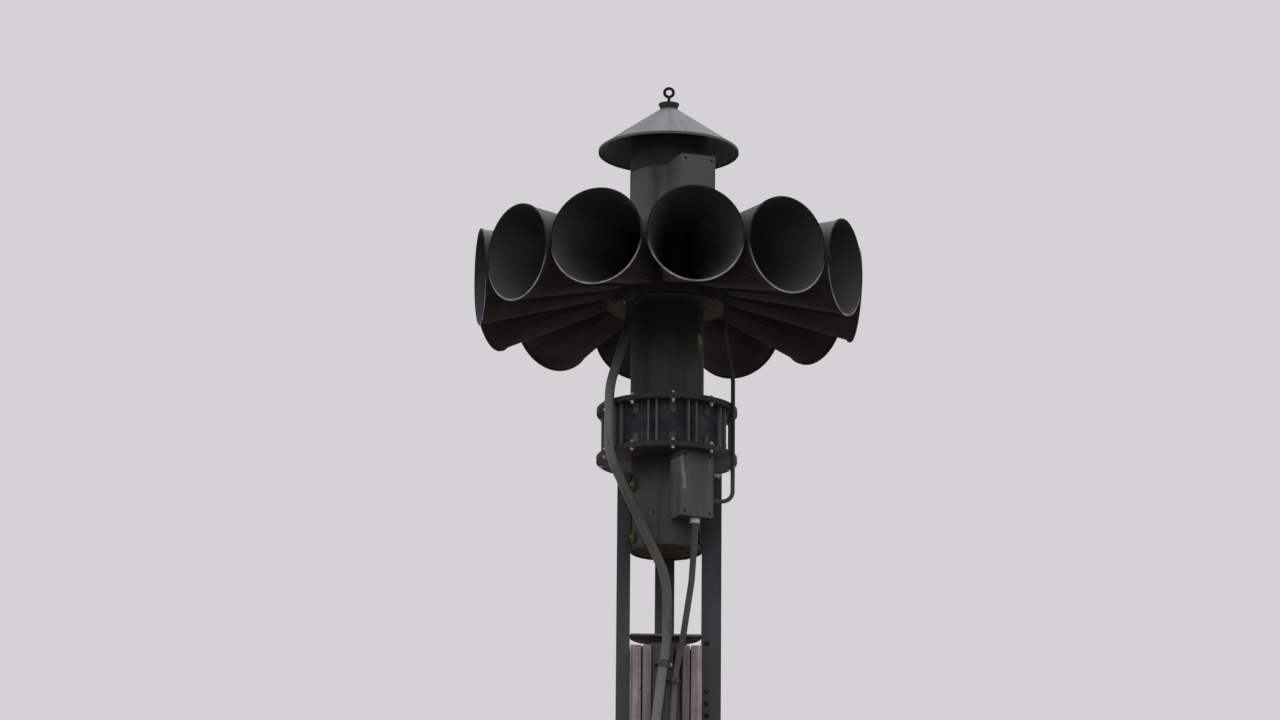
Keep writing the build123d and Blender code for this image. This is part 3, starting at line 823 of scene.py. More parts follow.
# %% [markdown]
# ## Wire cloth
#
# The intake and the gap under the cap are closed by fine wire mesh against birds. Modelled
# wires would be tens of thousands of thin tubes that nobody can tell apart from the
# ground. So the screens are sheets, and two crossed waves in the bump give the weave.

# %% Make the wire cloth
WIRE_SCALE = 90.0


def screen_finish(name, dark, light):
    """Dusty dark wire cloth."""
    finish = Finish(name, roughness=0.8)
    dust = finish.ramp(finish.noise(14.0, 5.0), (0.35, dark), (0.65, light))
    weave = finish.math("MAXIMUM", finish.wave("Z", WIRE_SCALE), finish.wave("DIAGONAL", WIRE_SCALE))
    finish.bump(weave, 0.5, 0.0006)
    return finish.close(dust)


wire_cloth = screen_finish("wire_cloth", (0.038, 0.038, 0.043), (0.078, 0.076, 0.084))
cap_cloth = screen_finish("cap_cloth", (0.044, 0.044, 0.046), (0.062, 0.061, 0.064))
print("wire cloth made for the intake and for the cap")

# %% [markdown]
# ## Plated steel
#
# The flange bolts are zinc plated and catch the sky. The bolts in the lugs have the yellow
# kind of plating, which has lasted only left of the wiring. The gland under the lower box
# is bright, and the others are sooty. All are metal with dull patches, so one recipe
# makes them, and a test of the side or a band picks what differs.

# %% Make the plated steel


def metal_finish(name, bright, dull, roughness):
    """Plated steel with dull patches and a little rust, not yet closed."""
    finish = Finish(name, roughness=roughness, metallic=0.75, gloss=0.5)
    patches = finish.ramp(finish.noise(70.0, 5.0), (0.38, 0.0), (0.62, 1.0))
    colour = finish.mix(patches, bright, dull)
    specks = finish.ramp(finish.noise(180.0, 5.0, rough=0.7), (0.60, 0.0), (0.66, 0.8))
    finish.roughness(finish.ramp(patches, (0.0, roughness), (1.0, roughness + 0.25)))
    finish.bump(finish.noise(400.0, 3.0), 0.25, 0.0004)
    return finish, finish.mix(specks, colour, (0.16, 0.085, 0.045))


def plain_metal(name, bright, dull, roughness):
    """Plated steel that is the same all over."""
    finish, colour = metal_finish(name, bright, dull, roughness)
    return finish.close(colour)


def yellow_zinc_finish():
    """Yellow plating that has lasted only left of the wiring."""
    finish, colour = metal_finish("yellow_zinc", (0.42, 0.31, 0.11), (0.22, 0.15, 0.06), 0.50)
    right = finish.math("GREATER_THAN", finish.along(tangent(WIRING_TURN)), 0.0)
    return finish.close(finish.mix(right, colour, (0.060, 0.052, 0.046)))


def gland_finish():
    """Bright zinc on the gland under the lower box, soot on the others."""
    finish, colour = metal_finish("gland_metal", (0.82, 0.83, 0.83), (0.50, 0.50, 0.50), 0.45)
    bright = finish.band(finish.along(tangent(WIRING_TURN)), 0.080, 0.145, 0.002)
    return finish.close(finish.mix(bright, (0.050, 0.047, 0.046), colour))


zinc = plain_metal("zinc", (0.62, 0.63, 0.63), (0.34, 0.34, 0.34), 0.38)
strap_steel = plain_metal("strap_steel", (0.120, 0.120, 0.124), (0.070, 0.069, 0.070), 0.60)
yellow_zinc = yellow_zinc_finish()
gland_metal = gland_finish()
print("plated:", zinc.name, yellow_zinc.name, strap_steel.name, gland_metal.name)

# %% [markdown]
# ## Conduit
#
# The conduits have a plastic jacket over a metal helix, and the helix shows through as
# fine rings. Their greys change with height, each in its own way, and are painted light and
# shade: near black in the shade under the drum, paler where they are lit. A ramp by height
# holds those greys, and a wave is the rings.

# %% Make the conduit jackets


def conduit_finish(name, *levels):
    """Grey plastic with rings and dirt; levels are heights over the ring and greys, from the top down,
    that hold painted light and shade.
    """
    finish = Finish(name, roughness=0.6, gloss=0.3)
    lowest = levels[-1][0]
    span = levels[0][0] - lowest
    place = finish.math("DIVIDE", finish.above(ring_z + lowest), span)
    stops = []
    for height, grey in reversed(levels):
        stops.append(((height - lowest) / span, (grey, 1.01 * grey, 1.02 * grey)))
    # Painted light and shade by height, near black under the drum.
    colour = finish.ramp(place, *stops)
    patches = finish.ramp(finish.noise(2.4, 5.0), (0.38, 0.0), (0.62, 0.25))
    colour = finish.mix(patches, colour, (0.20, 0.20, 0.20), "MULTIPLY")
    dirt = finish.ramp(finish.noise(30.0, 6.0, stretch=(1.0, 1.0, 0.3)), (0.50, 0.0), (0.72, 0.6))
    colour = finish.mix(dirt, colour, (0.46, 0.44, 0.42), "MULTIPLY")
    finish.roughness(finish.ramp(finish.noise(12.0, 3.0), (0.3, 0.45), (0.7, 0.65)))
    finish.bump(finish.wave("Z", 36.0), 0.25, 0.0010)
    return finish.close(colour)


main_jacket = conduit_finish(
    "main_jacket",
    (-0.22, 0.012), (-0.34, 0.10), (-0.60, 0.270), (-0.95, 0.098), (-1.35, 0.160), (-1.65, 0.250),
)
motor_jacket = conduit_finish("motor_jacket", (-1.00, 0.095), (-1.50, 0.095), (-1.75, 0.160))
link_jacket = conduit_finish(
    "link_jacket",
    (-0.20, 0.008), (-0.62, 0.013), (-0.76, 0.030), (-0.88, 0.078),
)
print("jackets:", main_jacket.name, motor_jacket.name, link_jacket.name)

# %% [markdown]
# ## Weathered timber
#
# The pole is dark with old preservative, and the boards round its top are bare wood that
# has gone a pinkish grey. Both are softwood with fibres along the grain. Wood could be
# drawn as rings cut through a log, but after years outdoors the fibres are what shows, so
# the grain is noise drawn out along Z in three widths, with bleached patches over it.

# %% Timber helper


def timber_finish(name, dark, middle, light, streak, silver):
    """Weathered softwood with grain along Z, not yet closed."""
    finish = Finish(name, roughness=0.85)
    fibres = finish.noise(150.0, 6.0, stretch=(1.0, 1.0, 0.018), rough=0.6)
    bands = finish.noise(26.0, 5.0, stretch=(1.0, 1.0, 0.035))
    colour = finish.ramp(fibres, (0.30, dark), (0.52, middle), (0.72, light))
    colour = finish.mix(finish.ramp(bands, (0.42, 0.0), (0.66, 0.75)), colour, streak)
    clouds = finish.noise(3.0, stretch=(1.0, 1.0, 0.25))
    colour = finish.mix(finish.ramp(clouds, (0.40, 0.0), (0.70, 0.6)), colour, silver)
    hairs = finish.noise(95.0, 3.0, stretch=(1.0, 1.0, 0.012), rough=0.4)
    hair_colour = [0.25 * level for level in dark]
    colour = finish.mix(finish.ramp(hairs, (0.64, 0.0), (0.69, 0.8)), colour, hair_colour)
    finish.roughness(finish.ramp(fibres, (0.3, 0.78), (0.7, 0.92)))
    finish.bump(finish.mix(0.5, fibres, bands), 0.7, 0.0030)
    return finish, colour


print("timber takes three shades of fibre, a streak and a silver")

# %% [markdown]
# ## The pole's timber
#
# Dirt and preservative have made the checks black, the long cracks that drying opens. The
# cracks are real dips in the mesh further down. The stain could be painted by hand along
# each, but it follows depth: the finish compares each point's distance from the middle
# line with the round, tapered surface, and darkens what lies deeper.

# %% Make the pole's timber
POLE_TOP_RADIUS = 0.105
pole_height = pole_high.z
pole_base_radius = pole_high.x
pole_taper = (pole_base_radius - POLE_TOP_RADIUS) / pole_height


def pole_finish():
    """Timber that is dark with preservative and black in its checks."""
    finish, colour = timber_finish(
        "pole_timber", (0.056, 0.042, 0.041), (0.125, 0.098, 0.095), (0.225, 0.188, 0.180),
        streak=(0.070, 0.049, 0.046), silver=(0.180, 0.158, 0.155),
    )
    x = finish.part(0)
    y = finish.part(1)
    reach = finish.math("SQRT", finish.plus(finish.times(x, x), finish.times(y, y)))
    surface = finish.minus(pole_base_radius, finish.times(finish.part(2), pole_taper))
    depth_in_centimetres = finish.times(finish.minus(surface, reach), 100.0)
    crack = finish.ramp(depth_in_centimetres, (0.16, 0.0), (0.75, 0.95))
    return finish.close(finish.mix(crack, colour, (0.012, 0.009, 0.009)))


pole_timber = pole_finish()
print("pole tapers by", round(1000 * pole_taper, 1), "mm in each metre")

# %% [markdown]
# ## The boards' timber
#
# The boards are bare wood, darker on the two narrow strips beside the wiring, where the
# colour is painted shade from the conduits in front, pale at the sawn top, and knotty in
# places. Their stripes are broader than the pole's fibres. A flat board has no round surface
# to measure depth from, so its dark lines come from thin noise.

# %% Make the boards' timber
STRIP_REACH = 0.0935
KNOT_REACH = 0.098
KNOTS = (
    # place across, drop below the ring, size
    (-0.066, 1.582, 0.0075),
    (-0.101, 1.672, 0.0090),
    (0.118, 1.905, 0.0080),
)


def board_stripes(finish, colour):
    """Broad shades, dark streaks and a fine mottle along the grain."""
    shades = finish.ramp(finish.noise(27.0, 3.0, stretch=(1.0, 1.0, 0.08)), (0.42, 0.0), (0.60, 0.55))
    colour = finish.mix(shades, colour, (0.190, 0.148, 0.146))
    streaks = finish.ramp(finish.noise(70.0, stretch=(1.0, 1.0, 0.03)), (0.52, 0.0), (0.66, 0.75))
    colour = finish.mix(streaks, colour, (0.150, 0.108, 0.102))
    spots = finish.noise(20.0, 6.0, stretch=(1.0, 1.0, 0.40), rough=0.75)
    return finish.mix(finish.ramp(spots, (0.46, 0.0), (0.58, 0.45)), colour, (0.210, 0.180, 0.182))


def board_finish():
    """Bare pinkish grey wood, pale at the top, with a few knots."""
    finish, colour = timber_finish(
        "board_timber", (0.380, 0.290, 0.282), (0.650, 0.530, 0.520), (0.800, 0.710, 0.705),
        streak=(0.320, 0.216, 0.206), silver=(0.660, 0.585, 0.585),
    )
    colour = board_stripes(finish, colour)
    # Painted shade: the front strips behind the conduits are darker.
    between = finish.band(finish.along(tangent(LEG_TURN)), -STRIP_REACH, STRIP_REACH, 0.001)
    front = finish.math("GREATER_THAN", finish.along(radial(LEG_TURN)), 0.0)
    colour = finish.mix(finish.times(between, front, 0.62), colour, (0.195, 0.160, 0.160))
    sawn = finish.ramp(finish.under(board_high.z), (0.004, 0.5), (0.045, 0.0))
    colour = finish.mix(sawn, colour, (0.430, 0.370, 0.360))
    for across, drop, size in KNOTS:
        knot = at(LEG_TURN, KNOT_REACH, ring_z - drop) + tangent(LEG_TURN) * across
        colour = finish.mix(finish.near(knot, size), colour, (0.040, 0.028, 0.027))
    return finish.close(colour)


board_timber = board_finish()
print(board_timber.name, "made, with", len(KNOTS), "knots")

# %% [markdown]
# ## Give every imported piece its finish
#
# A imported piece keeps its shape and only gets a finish. Picking each one by hand in the
# viewport would be lost on the next load, so a table goes by the pieces' names. What the
# table doesn't name gets the plain siren paint.

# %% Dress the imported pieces
FINISHES = {
    "timber_pole": pole_timber,
    "packing_boards": board_timber,
    "pole_cap_plate": rusty["plate_rust"],
    "motor_end_plate": rusty["can_end_rust"],
    "plenum_floor": drum_floor,
    "plenum_wall": rusty["wall_steel"],
    "rotor": rusty["rotor_soot"],
    "shaft_tube": rusty["dark_steel"],
    "lifting_eye": rusty["dark_steel"],
    "intake_screen": wire_cloth,
    "cap_screen": cap_cloth,
    "intake_posts": cage_paint,
    "intake_clips": clip_paint,
    "lower_flange": flange_paint,
    "upper_flange": flange_paint,
    "neck_tube": neck_paint,
    "motor_can": can_paint,
    "upper_housing": top_paint,
    "rain_cap": cap_paint,
    "cap_struts": top_paint,
    "left_leg": leg_paint,
    "right_leg": right_leg_paint,
    "rear_leg": leg_paint,
    "leg_lugs": lug_paint,
    "lower_box": lower_box_paint,
    "lower_box_lid": lower_box_paint,
    "upper_box": upper_box_paint,
    "upper_box_lid": upper_box_paint,
    "main_conduit": main_jacket,
    "motor_conduit": motor_jacket,
    "link_conduit": link_jacket,
    "conduit_glands": gland_metal,
    "main_straps": strap_steel,
    "motor_straps": strap_steel,
}
for index, horn_paint in enumerate(horn_paints):
    FINISHES[f"horn_{index + 1:02d}"] = horn_paint
for name, piece in nodes.items():
    piece.data.materials.clear()
    piece.data.materials.append(FINISHES.get(name, siren_paint))
print(len(nodes), "pieces dressed,", len(set(nodes) - set(FINISHES)), "of them in the plain siren paint")

# %% [markdown]
# ## Skins from loops of points
#
# Bolts, weld beads, the pole and the boards are all rows of points wrapped in a skin. One
# helper joins neighbouring rows by four-sided faces. A second helper turns the result
# into a piece: it names it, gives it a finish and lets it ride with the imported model.

# %% Skins and pieces


def add_skin(mesh, loops, ring=False):
    """Join neighbouring loops; a ring closes on itself, anything else gets two ends."""
    for lower, upper in zip(loops, loops[1:] + loops[:1] if ring else loops[1:]):
        for index in range(len(lower)):
            after = (index + 1) % len(lower)
            mesh.faces.new((lower[index], lower[after], upper[after], upper[index]))
    if not ring:
        mesh.faces.new(list(reversed(loops[0])))
        mesh.faces.new(loops[-1])


def finished(name, mesh, material, smooth_below=0.0):
    """Turn a skin into a piece that rides with the model; edges under an angle look smooth."""
    bmesh.ops.recalc_face_normals(mesh, faces=mesh.faces)
    data = bpy.data.meshes.new(name)
    mesh.to_mesh(data)
    mesh.free()
    if smooth_below:
        data.shade_smooth()
        data.set_sharp_from_angle(angle=math.radians(smooth_below))
    data.materials.append(material)
    piece = bpy.data.objects.new(name, data)
    bpy.context.scene.collection.objects.link(piece)
    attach(piece, "root")
    print(name, len(data.polygons), "faces")
    return piece


print("skins are ready for bolts, beads and timber")

# %% [markdown]
# ## A lathe for small parts
#
# Bolt heads, nuts and washers are all stacks of rings along one axis. Ready-made cylinders
# would have no chamfer, and it is the chamfer that catches the light. With six sides a
# stack is a hexagon head, and with more sides it is a washer or a round screw head.

# %% Ring stacks
WASHER_SIDES = 20
THREAD_SIDES = 12


def add_turned(mesh, centre, axis, rings, sides, spin=0.0):
    """Add a closed stack of rings that stands on a point; each ring is a radius and a height."""
    upright = Vector(axis).to_track_quat("Z", "Y").to_matrix().to_4x4()
    place = Matrix.Translation(centre) @ upright @ Matrix.Rotation(spin, 4, "Z")
    loops = []
    for radius, height in rings:
        angles = [math.tau * index / sides for index in range(sides)]
        points = [Vector((radius * math.cos(a), radius * math.sin(a), height)) for a in angles]
        loops.append([mesh.verts.new(place @ point) for point in points])
    add_skin(mesh, loops)


def add_bolt(mesh, centre, axis, across, spin=0.0, stub=0.0):
    """Washer and hexagon head that stand on a surface; stub adds a thread end, as on a nut."""
    corner = across / math.sqrt(3.0)
    washer = 0.16 * across
    head = 0.68 * across
    tip = washer + head
    flat = [(0.74 * across, 0.0), (0.76 * across, 0.4 * washer), (0.72 * across, washer)]
    add_turned(mesh, centre, axis, flat, WASHER_SIDES, spin)
    hexagon = [(corner, washer), (corner, washer + 0.78 * head), (0.86 * corner, tip)]
    add_turned(mesh, centre, axis, hexagon, 6, spin)
    if stub:
        thread = [(0.31 * across, tip), (0.31 * across, tip + stub), (0.24 * across, tip + stub + 0.002)]
        add_turned(mesh, centre, axis, thread, THREAD_SIDES, spin)


print("a bolt is a washer of", WASHER_SIDES, "sides and a head of 6")

# %% [markdown]
# ## Bolts of the intake cage
#
# Ten bolts go through each flange. Inside the intake each one holds the foot of a clip,
# so its inner end stands on the clip's steel. The heights are those of the flanges' own
# faces, so a change of the model moves the bolts too. Each is turned by chance, because
# nobody lines up the flats of a bolt.

# %% Make the flange bolts
BOLT_ACROSS = 0.0105
BOLT_CIRCLE = 0.2675
BOLT_COUNT = 10
CLIP_STEEL = 0.004
NUT_STUB = 0.001

BOLT_ENDS = (
    # height of the face, way off it, length of thread that shows
    (lower_low.z, -1, 0.0),
    (lower_high.z + CLIP_STEEL, 1, NUT_STUB),
    (upper_low.z - CLIP_STEEL, -1, NUT_STUB),
    (upper_high.z, 1, 0.0),
)

mesh = bmesh.new()
chance = random.Random(5)
for index in range(BOLT_COUNT):
    azimuth = CAGE_TURN + math.tau * index / BOLT_COUNT
    spin = chance.uniform(0.0, math.tau)
    for z, way, stub in BOLT_ENDS:
        add_bolt(mesh, at(azimuth, BOLT_CIRCLE, z), up(way), BOLT_ACROSS, spin, stub)
finished("flange_bolts", mesh, zinc)

# %% [markdown]
# ## Bolts in the lugs
#
# Lugs stand on both sides of each leg at two heights, and a bolt goes through each into
# the can. On the right leg the upper front one is missing, because the model has no lug
# there.

# %% Make the lug bolts
LUG_DROPS = (0.056, 0.269)
LUG_ANGLE = math.radians(28.0)
LUG_STEEL = 0.012
LUG_BOLT_ACROSS = 0.011
can_radius = can_high.x

mesh = bmesh.new()
for leg in LEGS:
    for side in (-1, 1):
        for drop in LUG_DROPS:
            if (leg, side, drop) == (RIGHT_LEG, -1, LUG_DROPS[0]):
                continue
            azimuth = leg + side * LUG_ANGLE
            middle = at(azimuth, can_radius + LUG_STEEL, leg_high.z - drop)
            add_bolt(mesh, middle, radial(azimuth), LUG_BOLT_ACROSS, chance.uniform(0.0, 1.0))
finished("lug_bolts", mesh, yellow_zinc)

# %% [markdown]
# ## Screws in the legs
#
# Dark lag screws hold the legs to the boards, along the edges of the legs' sides: one
# near the top of the pole and three close together below it. The front of the left leg
# shows none. They are the same small hexagon heads, laid on their sides.

# %% Make the leg screws
LAG_HEIGHTS = (0.009, -0.184, -0.233, -0.281)
LAG_REACH = 0.162
LAG_ACROSS = 0.013

mesh = bmesh.new()
for leg in LEGS:
    for side in (-1, 1):
        if (leg, side) == (LEFT_LEG, 1):
            continue
        for height in LAG_HEIGHTS:
            sideways = tangent(leg) * side
            middle = at(leg, LAG_REACH, pole_height + height) + sideways * LEG_HALF_WIDTH
            add_bolt(mesh, middle, sideways, LAG_ACROSS, chance.uniform(0.0, 1.0))
finished("leg_lag_screws", mesh, rusty["rusty_bolt"])

# %% [markdown]
# ## Screws in the box lids
#
# Each lid is held by four round-headed screws near its corners, and three more sit low on
# the can. A round head is another ring stack, with rings that shrink toward the top. Their
# slots are left out, because they are too small to see from the ground.

# %% Make the lid screws
SCREW_INSET = 0.017
LID_SCREW_HEAD = 0.0055
CAN_SCREW_HEAD = 0.005
CAN_SCREW_TURNS = (WIRING_TURN - 0.36, 1.9, -2.4)
CAN_SCREW_DROP = 0.234
SCREW_SIDES = 16


def add_screw(mesh, centre, axis, radius):
    """Round screw head that stands on a surface."""
    side = [(radius, 0.0), (radius, 0.25 * radius)]
    dome = [(0.86 * radius, 0.52 * radius), (0.5 * radius, 0.68 * radius)]
    add_turned(mesh, centre, axis, side + dome, SCREW_SIDES)


def lid_corners(azimuth, lid):
    """The four screw places on a lid, worked out from the lid's own corners."""
    corners = [v.co for v in lid.data.vertices]
    reach = max(co.dot(radial(azimuth)) for co in corners)
    sides = [co.dot(tangent(azimuth)) for co in corners]
    heights = [co.z for co in corners]
    for side in (min(sides) + SCREW_INSET, max(sides) - SCREW_INSET):
        for z in (min(heights) + SCREW_INSET, max(heights) - SCREW_INSET):
            yield at(azimuth, reach, z) + tangent(azimuth) * side


mesh = bmesh.new()
for azimuth, lid in ((LOWER_BOX_TURN, nodes["lower_box_lid"]), (UPPER_BOX_TURN, nodes["upper_box_lid"])):
    for place in lid_corners(azimuth, lid):
        add_screw(mesh, place, radial(azimuth), LID_SCREW_HEAD)
for azimuth in CAN_SCREW_TURNS:
    place = at(azimuth, can_radius, can_high.z - CAN_SCREW_DROP)
    add_screw(mesh, place, radial(azimuth), CAN_SCREW_HEAD)
finished("lid_screws", mesh, rusty["dark_steel"])

# %% [markdown]
# ## Screws of the conduit straps
#
# Each saddle strap lies on the pole with an ear on both sides of its conduit, and a lag
# screw goes through each ear. Their places aren't written here: the ears are the ends of
# the strap pieces of the model. All screws have gone dark but one, at the top strap of
# the main conduit.

# %% Find the straps
SAME_STRAP = 0.030
STRAP_HALF_WIDTH = 0.02


def strap_heights(straps):
    """Middle height of each strap, from the heights of its corners."""
    groups = []
    for z in sorted(set(round(v.co.z, 3) for v in straps.data.vertices)):
        if groups and z - groups[-1][-1] < SAME_STRAP:
            groups[-1].append(z)
        else:
            groups.append([z])
    return [0.5 * (group[0] + group[-1]) for group in groups]


def strap_ends(straps, z):
    """Azimuths of the two ends of the strap at a height."""
    around = [v.co for v in straps.data.vertices if abs(v.co.z - z) < STRAP_HALF_WIDTH]
    angles = [math.atan2(co.x, -co.y) for co in around]
    return min(angles), max(angles)


def pole_radius(z):
    """Radius of the tapered pole at a height."""
    return pole_base_radius - pole_taper * z


print("straps at", [round(z, 2) for z in strap_heights(nodes["main_straps"])], "m on the main conduit")

# %% Make the strap screws
EAR_SCREW_INSET = 0.00744
STRAP_STEEL = 0.0036
STRAP_SCREW_ACROSS = 0.010

mesh = bmesh.new()
newer_mesh = bmesh.new()
for straps in (nodes["main_straps"], nodes["motor_straps"]):
    for z in strap_heights(straps):
        first, last = strap_ends(straps, z)
        inset = EAR_SCREW_INSET / pole_radius(z)
        newer = straps == nodes["main_straps"] and z > board_low.z
        for azimuth, target in ((first + inset, mesh), (last - inset, newer_mesh if newer else mesh)):
            middle = at(azimuth, pole_radius(z) + STRAP_STEEL, z)
            add_bolt(target, middle, radial(azimuth), STRAP_SCREW_ACROSS, chance.uniform(0.0, 1.0))
finished("strap_screws", mesh, rusty["rusty_bolt"])
finished("strap_screw_new", newer_mesh, zinc)

# %% [markdown]
# ## Weld beads
#
# The neck is welded to its flange and to the drum's floor. A weld bead is a row of small
# overlapping ripples. They could be modelled one by one, but a single closed tube that
# grows and shrinks in short even waves as it runs along the joint looks the same.

# %% Make the weld beads
BEAD_SIDES = 6
BEAD_SWELL = 0.22
BEAD_POINTS = 180
BEAD_RADIUS = 0.0045
BEAD_LIFT = 0.002
BEAD_PROUD = 0.001


def add_bead(mesh, path, radius, ripple, ring=True):
    """Tube along points that each have a place and a way off the surface; a ring closes on itself."""
    last = len(path) - 1
    loops = []
    for index, (place, away) in enumerate(path):
        before = path[index - 1 if ring or index else 0]
        after = path[(index + 1) % len(path) if ring or index < last else last]
        beside = (after[0] - before[0]).cross(away).normalized()
        size = radius * (1.0 + BEAD_SWELL * math.sin(index * ripple))
        loop = []
        for corner in range(BEAD_SIDES):
            angle = math.tau * corner / BEAD_SIDES
            loop.append(mesh.verts.new(place + size * (math.cos(angle) * away + math.sin(angle) * beside)))
        loops.append(loop)
    add_skin(mesh, loops, ring)


mesh = bmesh.new()
for z in (neck_low.z + BEAD_LIFT, neck_high.z - BEAD_LIFT):
    turns = [math.tau * index / BEAD_POINTS for index in range(BEAD_POINTS)]
    path = [(at(azimuth, neck_high.x + BEAD_PROUD, z), radial(azimuth)) for azimuth in turns]
    add_bead(mesh, path, BEAD_RADIUS, ripple=1.9)
finished("neck_welds", mesh, neck_paint, smooth_below=60.0)

# %% [markdown]
# ## Seams under the horns
#
# Brown rusty seams run along the two lower corners of each horn, from the drum to the
# mouth. Their line could be worked out from the horn's loft, but that would repeat the
# model. Instead a ray is sent toward the horn's axis at many places, and the seam follows
# the points where the rays meet steel.

# %% Make the horn seams
SEAM_START = 0.262
SEAM_END = 0.738
SEAM_POINTS = 44
SEAM_RADIUS = 0.0026
RAY_START = 0.3
THROAT_LIFT = 0.050
THROAT_TILT = math.radians(61.0)
MOUTH_TILT = math.radians(47.0)


def seam_path(steel, azimuth, side):
    """Points along one lower corner of a horn, each with the way off the steel."""
    path = []
    for step in range(SEAM_POINTS):
        share = step / (SEAM_POINTS - 1)
        reach = SEAM_START + (SEAM_END - SEAM_START) * share
        tilt = THROAT_TILT + (MOUTH_TILT - THROAT_TILT) * share
        middle = at(azimuth, reach, ring_z + THROAT_LIFT * (1.0 - share))
        away = tangent(azimuth) * side * math.cos(tilt) - up(math.sin(tilt))
        met, facing, _, _ = steel.ray_cast(middle + away * RAY_START, -away)
        if met:
            path.append((met, facing if facing.dot(away) > 0.0 else -facing))
    return path


mesh = bmesh.new()
for index in range(HORNS):
    horn = nodes[f"horn_{index + 1:02d}"].data
    steel = BVHTree.FromPolygons([v.co for v in horn.vertices], [p.vertices for p in horn.polygons])
    for side in (-1, 1):
        path = seam_path(steel, math.tau * index / HORNS, side)
        add_bead(mesh, path, SEAM_RADIUS, ripple=2.3, ring=False)
finished("horn_seams", mesh, rusty["seam_rust"], smooth_below=60.0)

# %% [markdown]
# ## Checks in the pole
#
# The pole has dried and cracked. Long checks run down it, some a centimetre across at the
# surface and closing inward. A bump could fake them from the front, but a check in
# the mesh catches light and shadow from every side. Each is a line that wanders down the
# pole, with a width and a depth that die away at its ends.

# %% Lay out the checks
CHECKS = (
    # azimuth in degrees from the wiring face, top and bottom below the pole's top, half width, depth
    (-58.0, 0.00, 2.90, 0.0048, 0.020),
    (-37.0, 0.00, 1.10, 0.0040, 0.016),
    (-30.0, 0.10, 0.42, 0.0030, 0.010),
    (21.0, 0.02, 1.90, 0.0050, 0.022),
    (35.0, 0.04, 0.90, 0.0036, 0.014),
    (52.0, 0.30, 3.60, 0.0046, 0.018),
    (118.0, 0.00, 2.20, 0.0050, 0.022),
    (141.0, 0.20, 4.10, 0.0042, 0.016),
    (-112.0, 0.05, 1.70, 0.0046, 0.018),
    (-150.0, 0.40, 3.30, 0.0040, 0.015),
    (12.0, 2.30, 5.60, 0.0044, 0.018),
    (-24.0, 3.10, 6.70, 0.0040, 0.015),
    (74.0, 3.90, 7.10, 0.0046, 0.018),
    (-84.0, 3.40, 6.40, 0.0044, 0.017),
    (160.0, 4.60, 7.20, 0.0046, 0.018),
    (-130.0, 4.10, 6.90, 0.0042, 0.016),
)
CHECK_TOP_FADE = 0.06
CHECK_FOOT_FADE = 0.35
CHECK_OVERRUN = 0.02


def check_depth(azimuth, z):
    """How deep the checks cut into the pole at a place on it."""
    drop = pole_height - z
    deepest = 0.0
    for turned, top, bottom, width, depth in CHECKS:
        if not top - CHECK_OVERRUN < drop < bottom:
            continue
        centre = WIRING_TURN + math.radians(turned) + 0.05 * noise.noise(Vector((turned, 0.0, z * 1.3)))
        centre += 0.012 * noise.noise(Vector((turned, 3.0, z * 9.0)))
        gap = (azimuth - centre + math.pi) % math.tau - math.pi
        upper_end = max(0.0, (drop - top + CHECK_OVERRUN) / CHECK_TOP_FADE) if top else 1.0
        ends = min(1.0, (bottom - drop) / CHECK_FOOT_FADE, upper_end)
        reach = width * ends * (0.75 + 0.5 * noise.noise(Vector((turned, 7.0, z * 4.0))))
        away = abs(gap) * pole_radius(z)
        if reach > 0.0 and away < reach:
            deepest = max(deepest, depth * ends * (1.0 - away / reach))
    return deepest


print(len(CHECKS), "checks, the deepest", max(depth for *_, depth in CHECKS), "m")

# %% [markdown]
# ## The weathered pole
#
# A plain tapered solid stands for the pole in the model. Displacing that solid would need
# an even mesh first, so the pole is built again as a fine tube whose radius dips where a
# check cuts in. It stays inside the model's pole, keeps the flats that the boards lie on
# and has the rounded top. Rows are close near the top, which the camera sees, and wider
# apart near the ground.

# %% Weathered surface
TOP_ROUND = 0.012
BOARD_INNER = 0.097
FLAT_HALF_WIDTH = 0.099
FLAT_GAP = 0.0002


def weathered_radius(azimuth, z):
    """Radius of the weathered surface: taper, shallow fibres, checks and the rounded top."""
    surface = pole_radius(z)
    point = Vector((math.cos(azimuth) * 2.2, math.sin(azimuth) * 2.2, z * 0.25))
    fibre = 0.0012 * (1.0 + noise.noise(point)) + 0.0006 * (1.0 + noise.noise(point * 9.0))
    below_top = pole_height - z
    if below_top < TOP_ROUND:
        surface -= TOP_ROUND - math.sqrt(max(0.0, TOP_ROUND ** 2 - (TOP_ROUND - below_top) ** 2))
    return surface - fibre - check_depth(azimuth, z)


def weathered_point(azimuth, z):
    """A point of the pole's surface, brought back to the flats where the boards lie."""
    place = radial(azimuth) * weathered_radius(azimuth, z)
    if z > board_low.z:
        for leg in LEGS:
            out = place.dot(radial(leg))
            if out > BOARD_INNER and abs(place.dot(tangent(leg))) < FLAT_HALF_WIDTH:
                place -= radial(leg) * (out - BOARD_INNER + FLAT_GAP)
    place.z = z
    return place


print("radius at the ground", round(weathered_radius(0.0, 0.0), 4), "m of", round(pole_base_radius, 4))

# %% Build the weathered pole
POLE_SIDES = 288
TOP_ROWS = (0.0, 0.001, 0.003, 0.006, 0.010, 0.015, 0.022, 0.03)
FINE_ROW = 0.022
COARSE_ROW = 0.045
FINE_ABOVE = 5.4
LOWEST_ROW = 0.05

rows = [pole_height - drop for drop in TOP_ROWS]
while rows[-1] > FINE_ABOVE:
    rows.append(rows[-1] - FINE_ROW)
while rows[-1] > LOWEST_ROW:
    rows.append(rows[-1] - COARSE_ROW)
rows[-1] = 0.0

